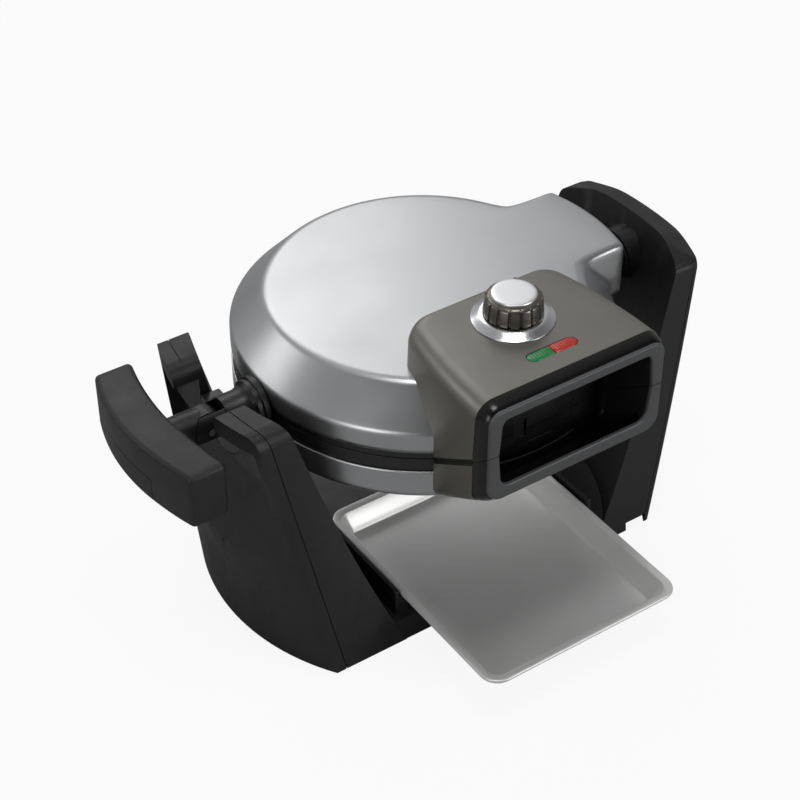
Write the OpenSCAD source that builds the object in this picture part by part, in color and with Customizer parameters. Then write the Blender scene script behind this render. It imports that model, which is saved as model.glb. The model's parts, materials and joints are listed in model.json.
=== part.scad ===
// Round waffle maker that turns over in a stand, with a fold-down handle and a drip tray.
// The turning axis runs along X, the control housing faces -Y, and the table is z = 0.

/* [Stand] */
// Height of the turning axis over the table
axis_h = 160; // [156:1:168]
// Half depth of the stand at the table
foot_y = 83.5; // [80:0.5:90]
// Half depth of the stand at the top of its supports
top_y = 57.5; // [55:0.5:60]
// Height of the left support over the turning axis
support_rise = 25; // [24:0.5:30]
// Height of the right support's middle over the turning axis
right_rise = 31.5; // [28:0.5:34]
// Radius of the right support's arched top
arch_r = 147; // [130:1:180]
// Radius of the supports' upper corners
support_corner = 10; // [6:1:14]
// Room between the round body and the left support at the axis
left_gap = 21; // [20:0.5:26]
// Thickness of the left support at the axis
left_t = 22; // [20:0.5:26]
// Room between the round body and the right support at the axis
right_gap = 40; // [38:0.5:46]
// Thickness of the right support at the axis
right_t = 19; // [17:0.5:24]
// Wall of the moulded supports
support_wall = 3; // [2.5:0.1:4]
// Gap that the rubber feet hold under the stand
foot_gap = 1.5; // [1:0.1:3]
// Radius of a rubber foot
foot_r = 8; // [6:0.5:10]

/* [Round body] */
// Radius of the round covers
body_r = 118.5; // [114:0.5:120]
// Width of the lid's sloping part
lid_slope_w = 22; // [18:0.5:28]
// Height of the lid's top over the parting line
lid_h = 41; // [38:0.5:44]
// Height of the lid's sloping part
lid_slope_h = 23; // [18:0.5:26]
// Depth of the lower cover under the parting line
lower_h = 40; // [36:0.5:44]
// Height of the lower cover's straight wall
lower_wall_h = 19; // [14:0.5:24]
// Width of the lower cover's sloping part
lower_slope_w = 24.5; // [20:0.5:32]
// How far the parting line lies under the axis
parting_drop = 2; // [0:0.5:3]
// Height of the black ring over the parting line
upper_band = 5; // [4:0.5:8]
// Height of the black ring under the parting line
lower_band = 9; // [6:0.5:12]
// Thickness of the sheet metal covers
sheet = 1.2; // [0.8:0.1:1.6]
// How far the neck stands out from the round cover
neck_out = 13.5; // [10:0.5:17]
// Half width of the neck where it leaves the body
neck_half = 34; // [30:0.5:38]
// Half width of the neck at its end
neck_end_half = 43; // [36:0.5:44]

/* [Waffle plates] */
// Room between the waffle and the round cover
waffle_room = 32.5; // [31.5:0.5:38]
// Depth of each plate's pocket
pocket = 13; // [9:0.5:15]
// Distance between the grid's studs
stud_pitch = 22; // [19:0.5:26]
// Width of a stud at its foot
stud_w = 13; // [10:0.5:15]
// Wall of the cast plates
plate_t = 3; // [2.5:0.1:4]

/* [Front housing] */
// Half width of the housing at its front
front_half = 65.2; // [62:0.2:68]
// How far the grip face stands out from the round cover
front_out = 32; // [30:0.5:34]
// Height of the housing's top over the lid's flat top
front_rise = 26.6; // [24:0.2:28]
// Height of the housing at its front
front_h = 70.6; // [66:0.2:72]
// How much each side of the housing draws in towards its rear
housing_taper = 10.5; // [6:0.5:12]
// Rise of the handle's parting line per millimetre
grip_slope = 0.69; // [0.6:0.01:0.72]
// Depth of the gloss bezel
bezel_d = 7.7; // [6:0.1:9]
// Thickness of the grip face
face_t = 2.3; // [1.8:0.1:3]
// Width of the rim beside the finger opening
face_rim = 7; // [6:0.5:8]

/* [Knob] */
// Place of the knob's axis behind the grip face
knob_back = 62; // [60:0.5:64]
// Radius of the knob's skirt
knob_r = 17.6; // [16:0.2:19]
// Height of the knob over its collar
knob_h = 12.9; // [10:0.1:15]
// Radius of the collar round the knob
collar_r = 24.4; // [23:0.2:27]
// Number of grooves in the knob's skirt
knob_grooves = 16; // [12:1:24]

/* [Handle] */
// Distance of the grip's inner side from the fold pin
grip_back = 24; // [24:0.5:28]
// Thickness of the grip at its middle
grip_t = 27; // [22:0.5:30]
// Half length of the grip
grip_half = 55; // [50:0.5:55]
// Height of the grip
grip_h = 37.5; // [32:0.5:38]
// Radius of the handle's shaft
shaft_r = 11; // [9:0.5:12]
// Travel of the release button
button_travel = 3; // [2:0.5:4]

/* [Drip tray] */
// Half width of the tray over its rim
tray_half = 72.5; // [68:0.5:74]
// Half length of the tray over its rim
tray_len = 91; // [82:0.5:92]
// Place of the tray's middle along the turning axis
tray_x = 5; // [4:0.5:6]
// Height of the tray's rim over the table
tray_rim_z = 34; // [32:0.5:36]
// Depth of the tray
tray_deep = 14; // [12:0.5:15]
// How far the tray stands out to the front
tray_out = 79; // [60:1:80]

/* [Hidden] */

// Overrun of a cut past the piece it cuts
over = 2;
// Gap between pieces that move past each other
gap = 0.4;
// Gap between still pieces with curved faces
seat = 0.2;
// Running fit of a shaft in its hole, on the radius
run = 0.06;
// Half of the gap at the parting line
half_parting = 0.2;
// Thickness of a section that a hull joins
slice = 0.1;
fine = 180;

// Levels, from the table up
split_z = axis_h - parting_drop;
split_up = split_z + half_parting;
split_low = split_z - half_parting;
band_top = split_z + upper_band;
band_low = split_z - lower_band;
lid_top = split_z + lid_h;
lid_crease = lid_top - lid_slope_h;
lower_bottom = split_z - lower_h;
lower_crease = band_low - lower_wall_h;
front_top = lid_top + front_rise;
front_low = front_top - front_h;
front_reach = body_r + front_out;

// Radii of the round body
lid_flat_r = body_r - lid_slope_w;
lower_flat_r = body_r - lower_slope_w;
neck_reach = body_r + neck_out;
waffle_r = body_r - waffle_room;

// Both supports: how their walls lean with height
left_in_lean = 0.2;
left_out_lean = 0.095;
right_in_lean = 0.266;
right_out_lean = 0.166;
support_h = axis_h + support_rise;
right_h = axis_h + right_rise;
left_in = body_r + left_gap;
left_out = left_in + left_t;
right_in = body_r + right_gap;
right_out = right_in + right_t;
front_lean = (foot_y - top_y) / support_h;

// The saddle, its bearing, the hub that turns in it and the fold joint outside it
journal_step = 1;
journal_r = shaft_r + journal_step;
saddle_r = 24;
fold_out = 16;
fold_x = left_in + fold_out;
shelf_x = fold_x - shaft_r - gap;
pocket_x = fold_x - grip_h / 2 - gap;
bearing_off = 13;
bearing_x0 = body_r + bearing_off;
hub_flange_r = 16.8;
hub_flange_t = 8.4;
hub_step = 2;
hub_tongue_half = 12;
hub_tongue_t = 8;
hub_tongue_in = 20;
knuckle_r = shaft_r - seat;
tongue_half = 5;
fold_pin_r = 2.5;
pin_set = 0.5;
shaft_in = 6;
tongue_short = 1;

// The hollow pivot on the right
pivot_r = 11;
pivot_bore_r = 6;
pivot_inset = 12.5;
pivot_in = body_r - pivot_inset;
pivot_short = 1;
pivot_step = 2;
pivot_foot_in = 10;
pivot_collar_r = 16;
bush_wall = 2.4;
boss_r = 17.3;
boss_reach = 8;
bush_flange_t = 1.5;
bush_flange_set = 1;

// The grip: its arcs in plan and its reach
grip_in = fold_x + grip_back;
grip_out = grip_in + grip_t;
grip_out_r = 154;
grip_in_r = 205;
grip_low = axis_h - grip_h / 2;

// Unit vector of v
function unit(v) = v / norm(v);
// Arc that rounds corner b between a and c
function arc_at(a, b, c, r, n) = let (
    u = unit(a - b), v = unit(c - b), half = acos(u * v) / 2,
    mid = b + unit(u + v) * r / sin(half),
    p = b + u * r / tan(half) - mid, q = b + v * r / tan(half) - mid,
    from = atan2(p[1], p[0]), turn = (atan2(q[1], q[0]) - from + 540) % 360 - 180)
    [for (i = [0:n]) mid + r * [cos(from + turn * i / n), sin(from + turn * i / n)]];
// Closed outline with each corner rounded by its own radius
function rounded(p, r, n = 5) = let (m = len(p)) [for (i = [0:m - 1])
    each (r[i] == 0 ? [p[i]] : arc_at(p[(i + m - 1) % m], p[i], p[(i + 1) % m], r[i], n))];

// Lays an outline drawn in (Y, Z) along X
module along_x(from, to) translate([from, 0, 0]) rotate([90, 0, 90]) linear_extrude(to - from) children();
// Lays an outline drawn in (X, Z) along Y
module along_y(from, to) translate([0, to, 0]) rotate([90, 0, 0]) linear_extrude(to - from) children();
// Round bar along X at the turning axis
module bar_x(r, from, to, y = 0, z = axis_h) translate([from, y, z]) rotate([0, 90, 0])
    cylinder(r = r, h = to - from, $fn = 72);
// Box from its two opposite corners
module block(a, b) translate(a) cube(b - a);

// Cone about Z whose radius is r at the axis height
module lean_cone(r, lean, low, high) translate([0, 0, low])
    cylinder(r1 = r + lean * (low - axis_h), r2 = r + lean * (high - axis_h), h = high - low, $fn = fine);

// Outline of a support seen from the side, drawn in by inset. Its top is flat, or arched when arc > 0.
arch_steps = 6;
function side_y(inset, z) = foot_y - front_lean * z - inset * sqrt(1 + front_lean * front_lean);
function arch_z(top, arc, y) = top - arc + sqrt(arc * arc - y * y);
module side_outline(inset, low, top, corner, arc = 0) {
    y_top = side_y(inset, arc > 0 ? arch_z(top, arc, side_y(inset, top)) : top);
    step = y_top / arch_steps;
    crown = arc > 0 ? [for (k = [1 - arch_steps:arch_steps - 1])
        [-k * step, arch_z(top, arc, k * step)]] : [];
    end_z = arc > 0 ? arch_z(top, arc, y_top) : top;
    p = concat([[-side_y(inset, low), low], [side_y(inset, low), low], [y_top, end_z]], crown,
        [[-y_top, end_z]]);
    r = [for (i = [0:len(p) - 1]) i == 2 || i == len(p) - 1 ? corner : 0];
    polygon(rounded(p, r));
}

// Wall of a support between its leaning cones, on the side that s gives
side_from = 60;
side_share = 1.2;
side_to = right_out * side_share;
module support_zone(s, r_in, lean_in, r_out, lean_out, low, top, inset, corner, arc = 0) intersection() {
    difference() {
        lean_cone(r_out, lean_out, low, top);
        lean_cone(r_in, lean_in, low - over, top + over);
    }
    along_x(s > 0 ? side_from : -side_to, s > 0 ? side_to : -side_from)
        side_outline(inset, low, top, corner, arc);
}

// Hollow that takes the folded grip. Its deep part ends at the arc of the grip's inner side.
lip_drop = 13;
lip_z = support_h - lip_drop;
hollow_low_drop = 110;
hollow_base_drop = 88;
hollow_low = axis_h - hollow_low_drop;
hollow_inset = 5;
hollow_base = axis_h - hollow_base_drop;
hollow_out_share = 1.3;
hollow_out = left_out * hollow_out_share;
hollow_knee = 7;
hollow_edge = 1;
hollow_knee_r = 26;
hollow_foot_r = 40;
grip_arc_z = axis_h + grip_in_r - grip_back;
module hollow_side() along_x(-hollow_out, -side_from)
    side_outline(hollow_inset, foot_gap, support_h, support_corner);
module grip_hollow() {
    difference() {
        intersection() {
            along_y(-foot_y, foot_y) polygon(rounded([[-pocket_x, axis_h], [-pocket_x, grip_rest_low],
                [-left_out + hollow_knee, hollow_base], [-left_out + hollow_edge, hollow_low],
                [-hollow_out, hollow_low], [-hollow_out, axis_h]],
                [0, hollow_knee_r, hollow_foot_r, 0, 0, 0]));
            hollow_side();
        }
        translate([-hollow_out - over, 0, grip_arc_z]) rotate([0, 90, 0])
            cylinder(r = grip_in_r - gap, h = hollow_out, $fn = fine);
    }
    intersection() {
        along_y(-foot_y, foot_y) polygon([[-shelf_x, lip_z], [-shelf_x, axis_h - grip_back - over],
            [-hollow_out, axis_h - grip_back - over], [-hollow_out, lip_z]]);
        hollow_side();
    }
}
grip_rest_gap = 4;
grip_rest_low = axis_h - grip_back - grip_t - grip_rest_gap;

module saddle_slot(r) {
    bar_x(r, -hollow_out, -body_r);
    block([-hollow_out, -r, axis_h], [-body_r, r, support_h + over]);
}

hollow_drop = 94;
left_cavity_top = axis_h - hollow_drop;
cavity_in = support_wall * 2;
module left_support() color("#38383a") difference() {
    union() {
        difference() {
            support_zone(-1, left_in, left_in_lean, left_out, left_out_lean, foot_gap, support_h, 0,
                support_corner);
            support_zone(-1, left_in + support_wall, left_in_lean, left_out - support_wall, left_out_lean,
                foot_gap - over, left_cavity_top, support_wall, support_corner);
        }
        difference() {
            foot_bosses(-1);
            lean_cone(left_in, left_in_lean, foot_gap - over, foot_gap + boss_h + over);
        }
    }
    grip_hollow();
    saddle_slot(saddle_r);
    foot_pockets(-1);
}

// The right support is open to the outside, where a cover closes it
shell_t = 3;
module right_support() color("#38383a") difference() {
    union() {
        difference() {
            support_zone(1, right_in, right_in_lean, right_out - shell_t - seat, right_out_lean,
                foot_gap, right_h, 0, support_corner / 2, arch_r);
            support_zone(1, right_in + support_wall, right_in_lean, right_out + shell_t,
                right_out_lean, foot_gap - over, right_h - right_top, support_wall, support_corner);
        }
        bar_x(boss_r, right_in - boss_reach, right_in + boss_in);
        difference() {
            foot_bosses(1);
            lean_cone(right_in, right_in_lean, foot_gap - over, foot_gap + boss_h + over);
        }
    }
    bar_x(pivot_r + bush_wall + seat, right_in - boss_reach - over, right_in + boss_in + over);
    foot_pockets(1);
    gland_bar(gland_r + seat);
}
boss_in = 12;
right_top = 14.5;

module right_outer_cover() color("#333335") support_zone(1, right_out - shell_t, right_out_lean,
    right_out, right_out_lean, foot_gap, right_h, 0, support_corner / 2, arch_r);

// The bridge under the tray: its deck, its skirts, and the rails that hold the tray's rim
deck_gap = 2.5;
deck_z = tray_rim_z - tray_deep - deck_gap;
rail_t = 3;
rail_lap = 5;
rail_play = 1.5;
rail_set = 8;
rail_in = tray_half - rail_lap;
rail_out = tray_half + rail_play;
rail_front = foot_y - rail_set;
rail_notch_in = 4;
rail_under = 2.5;
rail_pitch = 28;
rail_notch = 12;
skirt_cut_from = -44;
skirt_cut_to = 80;
module rail(s) translate([tray_x, 0, 0]) scale_side(s) {
    block([rail_in, -rail_front, deck_z - rail_t], [rail_out + rail_t, rail_front, rail_top]);
    block([rail_out, -rail_front, deck_z - rail_t], [rail_out + rail_t, rail_front,
        tray_rim_z + rail_t]);
}
module scale_side(s) rotate(s > 0 ? 0 : 180) children();
rail_top = tray_rim_z - rail_under - gap;
module base_bridge() color("#333335") difference() {
    union() {
        intersection() {
            lean_cone(left_in - seat, left_in_lean, foot_gap, deck_z);
            along_x(-left_in, 0) side_outline(0, foot_gap, support_h, support_corner);
        }
        intersection() {
            lean_cone(right_in - seat, right_in_lean, foot_gap, deck_z);
            along_x(0, right_in) side_outline(0, foot_gap, support_h, support_corner);
        }
        for (s = [-1, 1]) rail(s);
    }
    // Hollow under the deck, open at the bottom
    intersection() {
        lean_cone(left_in - cavity_in, left_in_lean, foot_gap - over, deck_z - support_wall);
        along_x(-left_in, right_in) side_outline(support_wall, foot_gap - over, support_h,
            support_corner);
    }
    // Low cut in the front and rear skirts, between the feet
    block([skirt_cut_from, -foot_y - over, foot_gap - over], [skirt_cut_to, foot_y + over, skirt_cut_z]);
    // Notches along the rails
    for (s = [-1, 1]) translate([tray_x, 0, 0]) scale_side(s) for (k = [-2:2]) block(
        [rail_in - over, k * rail_pitch - rail_notch / 2, deck_z + over],
        [rail_in + rail_notch_in, k * rail_pitch + rail_notch / 2, tray_rim_z]);
}
skirt_cut_z = 6;

module bottom_pan() color("#2a2a2c") difference() {
    translate([0, 0, pan_z]) linear_extrude(pan_t) intersection() {
        circle(r = pan_r, $fn = fine);
        square([pan_r * 2, pan_y * 2], center = true);
    }
    for (x = [-screw_x, screw_x], y = [-screw_y, screw_y]) translate([x, y, 0])
        cylinder(r = screw_r + seat, h = deck_z, $fn = 24);
}
pan_t = 2;
pan_z = deck_z - support_wall - seat - pan_t;
pan_edge = 9;
pan_y = foot_y - pan_edge;
pan_play = 2;
pan_r = left_in - cavity_in - left_in_lean * axis_h - pan_play;
screw_in = 39.5;
screw_side = 24.5;
screw_x = pan_r - screw_in;
screw_y = pan_y - screw_side;
screw_r = 2;
screw_head_r = 4;
screw_head_t = 2;

// Screws that hold the pan under the deck
module base_screws() color("silver") for (x = [-screw_x, screw_x], y = [-screw_y, screw_y])
    translate([x, y, 0]) {
        translate([0, 0, pan_z - screw_head_t]) cylinder(r = screw_head_r, h = screw_head_t, $fn = 24);
        translate([0, 0, pan_z - seat]) cylinder(r = screw_r, h = pan_t + seat, $fn = 24);
    }

// Rubber feet, their bosses and their pockets
foot_set = 1.06;
left_foot_set = 1.8;
foot_ring = right_in - right_in_lean * axis_h + foot_r + support_wall + foot_set;
left_foot_ring = left_out - left_out_lean * axis_h - foot_r - support_wall - left_foot_set;
foot_turn = 27;
foot_in = 4;
foot_draft = 1;
boss_h = 12;
module foot_places(s) for (k = [-1, 1]) rotate(s > 0 ? k * foot_turn : 180 + k * foot_turn)
    translate([s > 0 ? foot_ring : left_foot_ring, 0, 0]) children();
module foot_bosses(s) foot_places(s) translate([0, 0, foot_gap])
    cylinder(r = foot_r + support_wall, h = boss_h, $fn = 48);
module foot_pockets(s) foot_places(s) translate([0, 0, foot_gap - over])
    cylinder(r = foot_r + seat, h = foot_in + over, $fn = 48);
module rubber_feet() color("#1d1d1d") for (s = [-1, 1]) foot_places(s)
    cylinder(r1 = foot_r - foot_draft, r2 = foot_r, h = foot_gap + foot_in - seat, $fn = 48);

// Cord gland low in the rear of the right support
gland_r = 6;
gland_z = 22;
gland_bore_r = 3.6;
gland_y = foot_y - front_lean * gland_z;
gland_set = 15;
gland_ring = right_out - right_out_lean * (axis_h - gland_z) - gland_set;
gland_x = sqrt(gland_ring * gland_ring - gland_y * gland_y);
gland_in = 9;
gland_deep = 12;
gland_len = 30;
gland_out = 1.4;
gland_flange = 2;
gland_lap = 0.1;
module gland_bar(r) translate([gland_x, gland_y - gland_deep, gland_z]) rotate([-90, 0, 0])
    cylinder(r = r, h = gland_len, $fn = 48);
module cord_gland() color("#1f1f20") difference() {
    union() {
        translate([gland_x, gland_y - gland_in, gland_z]) rotate([-90, 0, 0])
            cylinder(r = gland_r, h = gland_in + gland_out + gland_lap, $fn = 48);
        translate([gland_x, gland_y + gland_out, gland_z]) rotate([-90, 0, 0])
            cylinder(r = gland_r + gland_flange, h = gland_flange, $fn = 48);
    }
    gland_bar(gland_bore_r);
}

module saddle_bearing() color("#e4e0d4") difference() {
    bar_x(saddle_r - seat, -shelf_x, -bearing_x0);
    bar_x(journal_r + run, -left_out, -body_r);
    block([-left_out, -saddle_r - over, axis_h], [-body_r, saddle_r + over, support_h]);
}

module pivot_bush() color("#b08d4a") difference() {
    union() {
        bar_x(pivot_r + bush_wall, right_in - boss_reach, right_in + boss_in);
        bar_x(boss_r - bush_flange_set, right_in - boss_reach - bush_flange_t, right_in - boss_reach);
    }
    bar_x(pivot_r + run, right_in - boss_reach - over * 2, right_in + right_t);
}

// Tray: its rim, walls and floor
tray_corner = 12;
tray_slope = 12;
tray_t = 1;
tray_rim_w = 4;
tray_bead_r = 1.25;
tray_low_set = 3;
module tray_slab(half, len, r, z, h) hull() for (x = [-1, 1], y = [-1, 1])
    translate([x * (half - r), y * (len - r), z]) cylinder(r = r, h = h, $fn = 32);
module tray_bowl(e) hull() {
    tray_slab(tray_half - tray_rim_w - e, tray_len - tray_rim_w - e, tray_corner - tray_rim_w / 2 - e,
        tray_rim_z - tray_bead_r + (e > 0 ? over : 0), slice);
    tray_slab(tray_half - tray_rim_w - tray_slope - e / 2, tray_len - tray_rim_w - tray_slope - e / 2,
        tray_corner - tray_low_set, tray_rim_z - tray_deep + e, slice);
}
module drip_tray() color("#c9cacc") translate([tray_x, -tray_out, 0]) difference() {
    union() {
        tray_slab(tray_half, tray_len, tray_corner, tray_rim_z - tray_bead_r * 2, tray_bead_r * 2);
        tray_bowl(0);
    }
    tray_bowl(tray_t);
    translate([0, 0, -tray_bead_r * 2 - tray_t]) difference() {
        tray_slab(tray_half - tray_t, tray_len - tray_t, tray_corner - tray_t, tray_rim_z, tray_t * 2);
        tray_slab(tray_half - tray_rim_w, tray_len - tray_rim_w, tray_corner - tray_rim_w / 2,
            tray_rim_z - over, over * 4);
    }
}

// Outline of the round body with its neck, grown by e
neck_arc = 71;
neck_end_in = 8;
neck_flare_in = 44;
neck_flare_out = 14;
neck_flare_from = neck_reach - neck_flare_in;
neck_flare_to = neck_reach - neck_flare_out;
module neck_plan(e) intersection() {
    polygon([[0, -neck_half - e], [neck_flare_from, -neck_half - e],
        [neck_flare_to, -neck_end_half - e], [neck_reach + over, -neck_end_half - e],
        [neck_reach + over, neck_end_half + e], [neck_flare_to, neck_end_half + e],
        [neck_flare_from, neck_half + e], [0, neck_half + e]]);
    translate([neck_reach - neck_arc, 0]) circle(r = neck_arc + e, $fn = fine);
}
module body_plan(e) {
    circle(r = body_r + e, $fn = fine);
    neck_plan(e);
}

// Solid under the lid's outer skin, drawn in by e
slope_a = atan(lid_slope_h / (body_r - lid_flat_r));
crease_r = 6;
edge_r = 9;
module lid_round(e, low) rotate_extrude($fn = fine) polygon(rounded([[0, low], [body_r - e, low],
    [body_r - e, lid_crease - e * tan((90 - slope_a) / 2)],
    [lid_flat_r - e * tan(slope_a / 2), lid_top - e], [0, lid_top - e]],
    [0, 0, crease_r - e, edge_r - e, 0], 4));
module lid_solid(e, low) {
    lid_round(e, low);
    translate([0, 0, low]) linear_extrude(lid_top - e - low) neck_plan(-e);
}

// Solid over the lower cover's outer skin, drawn in by e
lower_a = atan((lower_crease - lower_bottom) / (body_r - lower_flat_r));
module lower_solid(e, top) {
    rotate_extrude($fn = fine) polygon(rounded([[0, lower_bottom + e],
        [lower_flat_r - e * tan(lower_a / 2), lower_bottom + e],
        [body_r - e, lower_crease + e * tan((90 - lower_a) / 2)], [body_r - e, top], [0, top]],
        [0, edge_r - e, edge_r - e, 0, 0], 4));
    translate([0, 0, lower_crease + e]) linear_extrude(top - lower_crease - e) neck_plan(-e);
}

hinge_in = 6;
hinge_wall_in = 12.5;
hinge_y = body_r - hinge_in;
hinge_r = 5.5;
hinge_half = 30;
hinge_mid = 11;
hinge_room = 38;
hinge_wall_y = body_r - hinge_wall_in;
hinge_cut_h = 11;
hinge_bore_r = 2.5;
leaf_t = 4;
leaf_half = 36;
leaf_h = 14;
arm_h = 5;
// Room for the hinge in the rear walls
module hinge_cut(e) block([-hinge_room, hinge_wall_y - e, split_z - hinge_cut_h],
    [hinge_room, body_r + over, split_z + hinge_cut_h]);

// Tongue of the left hub in the lower half, and the room round it
tongue_top = split_low - plate_t * 2 - gap * 2;
tongue_low = tongue_top - hub_tongue_t;
hub_lap = 1;
module hub_tongue(e) block([-hub_x0 - hub_lap, -hub_tongue_half - e, tongue_low - e],
    [-hub_x0 + hub_tongue_in, hub_tongue_half + e, tongue_top + e]);

module upper_cover() color("#c4c5c7") difference() {
    lid_solid(0, band_top);
    lid_solid(sheet, band_top - over);
    hinge_cut(0);
    bar_x(pivot_collar_r + gap, neck_reach - neck_end_in, neck_reach + over);
    block([neck_reach - neck_end_in, -pivot_collar_r - gap, split_z],
        [neck_reach + over, pivot_collar_r + gap, axis_h]);
}

module lower_cover() color("#c4c5c7") difference() {
    lower_solid(0, band_low);
    lower_solid(sheet, band_low + over);
    hinge_cut(0);
    hub_tongue(seat);
    bar_x(pivot_collar_r + gap, neck_reach - neck_end_in, neck_reach + over);
}

// Black ring between the covers: its wall, and the flange that carries the waffle plate
ring_in = waffle_r + plate_t - gap;
plate_lap = 3;
plate_r = waffle_r + plate_t + plate_lap;
ring_t = 5;
ring_set = 1;
module ring_zone(low, high, flange_low, flange_high) difference() {
    union() {
        translate([0, 0, low]) linear_extrude(high - low) difference() {
            body_plan(-ring_set);
            circle(r = body_r - ring_set - ring_t, $fn = fine);
            neck_plan(-ring_set - ring_t);
        }
        translate([0, 0, flange_low]) difference() {
            cylinder(r = body_r - ring_set - ring_t / 2, h = flange_high - flange_low, $fn = fine);
            translate([0, 0, -over]) cylinder(r = ring_in, h = flange_high - flange_low + over * 2,
                $fn = fine);
        }
    }
    hinge_cut(leaf_t + seat);
    block([pivot_in - plate_lap, -pivot_collar_r - gap, low - over],
        [neck_reach + over, pivot_collar_r + gap, high + over]);
}
module upper_ring() color("#232324") ring_zone(split_up, band_top - seat, split_up + plate_t + seat,
    split_up + plate_t * 2 + seat);
module lower_ring() color("#232324") difference() {
    ring_zone(band_low + seat, split_low, split_low - plate_t * 2 - seat, split_low - plate_t - seat);
    hub_tongue(seat);
}

// Square studs of the waffle grid, with draft, in four fields
stud_draft = 3;
stud_top = stud_w - stud_draft;
stud_drop = 2;
stud_reach_share = 0.62;
pocket_draft = 5;
back_draft = 4;
field_gap = 5;
studs_out = 4;
module stud_field(h) for (i = [0:studs_out], j = [0:studs_out], a = [0:90:270])
    let (x = (i + 0.5) * stud_pitch, y = (j + 0.5) * stud_pitch)
    if (norm([x, y]) + stud_w * stud_reach_share < waffle_r) rotate(a) translate([x, y, 0]) rotate(45)
        cylinder(r1 = stud_w / sqrt(2), r2 = stud_top / sqrt(2), h = h, $fn = 4);

// Cast plate with its pocket upwards; the rim's face is z = 0
module plate_cast() {
    difference() {
        union() {
            translate([0, 0, -plate_t]) cylinder(r = plate_r, h = plate_t, $fn = fine);
            translate([0, 0, -pocket - plate_t]) cylinder(r1 = waffle_r - back_draft,
                r2 = waffle_r + plate_t, h = pocket + plate_t, $fn = fine);
        }
        translate([0, 0, -pocket]) cylinder(r1 = waffle_r - pocket_draft, r2 = waffle_r, h = pocket,
            $fn = fine);
        translate([0, 0, -pocket / 2]) cylinder(r = waffle_r - stud_drop, h = pocket, $fn = fine);
    }
    translate([0, 0, -pocket - plate_t / 2]) stud_field(pocket + plate_t / 2 - stud_drop);
    // Ribs that part the waffle into four
    for (a = [0, 90]) rotate(a) translate([-waffle_r + plate_lap, -field_gap / 2, -pocket - plate_t / 2])
        cube([(waffle_r - plate_lap) * 2, field_gap, pocket + plate_t / 2 - stud_drop]);
}
module lower_plate() color("#2b2b2d") translate([0, 0, split_low]) plate_cast();
module upper_plate() color("#2b2b2d") translate([0, 0, split_up]) mirror([0, 0, 1]) plate_cast();

// Ring of heating tube behind a plate, its ends bent away as terminals
element_in = 22;
element_r = waffle_r - element_in;
element_t = 3.3;
element_lug = 12;
element_step = 0.8;
module element() {
    rotate(-70) rotate_extrude(angle = 320, $fn = 96) translate([element_r, 0])
        circle(r = element_t, $fn = 24);
    for (a = [-70, 250]) rotate(a) translate([element_r, 0, -element_lug])
        cylinder(r = element_t - element_step, h = element_lug, $fn = 24);
}
element_drop = pocket + plate_t + element_t + seat;
module lower_element() color("#6f6a64") translate([0, 0, split_low - element_drop]) element();
module upper_element() color("#6f6a64") translate([0, 0, split_up + element_drop])
    mirror([0, 0, 1]) element();

// Housing: half width at a distance from the turning axis, and the outline there drawn in by e
bezel_y = front_reach - face_t - bezel_d;
housing_depth = 83.5;
housing_back = bezel_y - housing_depth;
function half_at(y) = front_half - housing_taper * pow((bezel_y - y) / (bezel_y - housing_back), 2);
side_draft = 1.3;
draft_drop = 34.6;
low_slope = 0.65;
shoulder_r = 11;
chin_r = 8;
function low_at(y) = front_low - low_slope * (bezel_y - y);
module front_outline(half, low, top, e) polygon(rounded([[-half + e, low + e], [half - e, low + e],
    [half - e, front_top - draft_drop], [half - side_draft - e, top - e],
    [-half + side_draft + e, top - e], [-half + e, front_top - draft_drop]],
    [chin_r - e, chin_r - e, 0, shoulder_r - e, shoulder_r - e, 0], 4));

// Sections that carry the housing's skin; the first ones round its rear corners and rear top edge
rear_r = 12;
rear_shares = [0, 0.1, 0.3, 0.6, 1];
rear_edge = 3;
drop_shares = [1, 0.2, 0, 0, 0];
depth_shares = [0.32, 0.52, 0.76];
side_steps = [for (k = depth_shares) housing_back + (bezel_y - housing_back) * k];
function rear_half(r, d) = half_at(housing_back + rear_r) - rear_r + sqrt(r * r - pow(r - d, 2));
module section_at(y, half, top, e) along_y(-y, -y + slice) front_outline(half, low_at(y), top, e);
module housing_skin(e, front) hull() {
    for (i = [0:len(rear_shares) - 1]) let (r = rear_r - e, d = rear_shares[i] * r)
        section_at(housing_back + e + d + slice, rear_half(r, d) + e,
            front_top - rear_edge * drop_shares[i], e);
    for (y = side_steps) section_at(y, half_at(y), front_top, e);
    section_at(front, half_at(bezel_y), front_top, e);
}
housing_wall = 2.4;
module housing_shell() difference() {
    housing_skin(0, bezel_y);
    housing_skin(housing_wall, bezel_y + over);
}

// The handle's parting line: level at the body, then rising to the front
bend_y = sqrt(body_r * body_r - pow(front_half - housing_taper / 4, 2));
body_clear = 0.6;
function part_line(y) = split_z + grip_slope * max(y - bend_y, 0);
module zone_above(e) along_x(-body_r, body_r) polygon([[0, split_z + e], [-bend_y, split_z + e],
    [-front_reach - over, part_line(front_reach + over) + e], [-front_reach - over, front_top + over],
    [0, front_top + over]]);
module zone_below(e) along_x(-body_r, body_r) polygon([[-bend_y - body_clear, lower_bottom],
    [-bend_y - body_clear, part_line(bend_y + body_clear) - e],
    [-front_reach - over, part_line(front_reach + over) - e], [-front_reach - over, lower_bottom]]);

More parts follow.
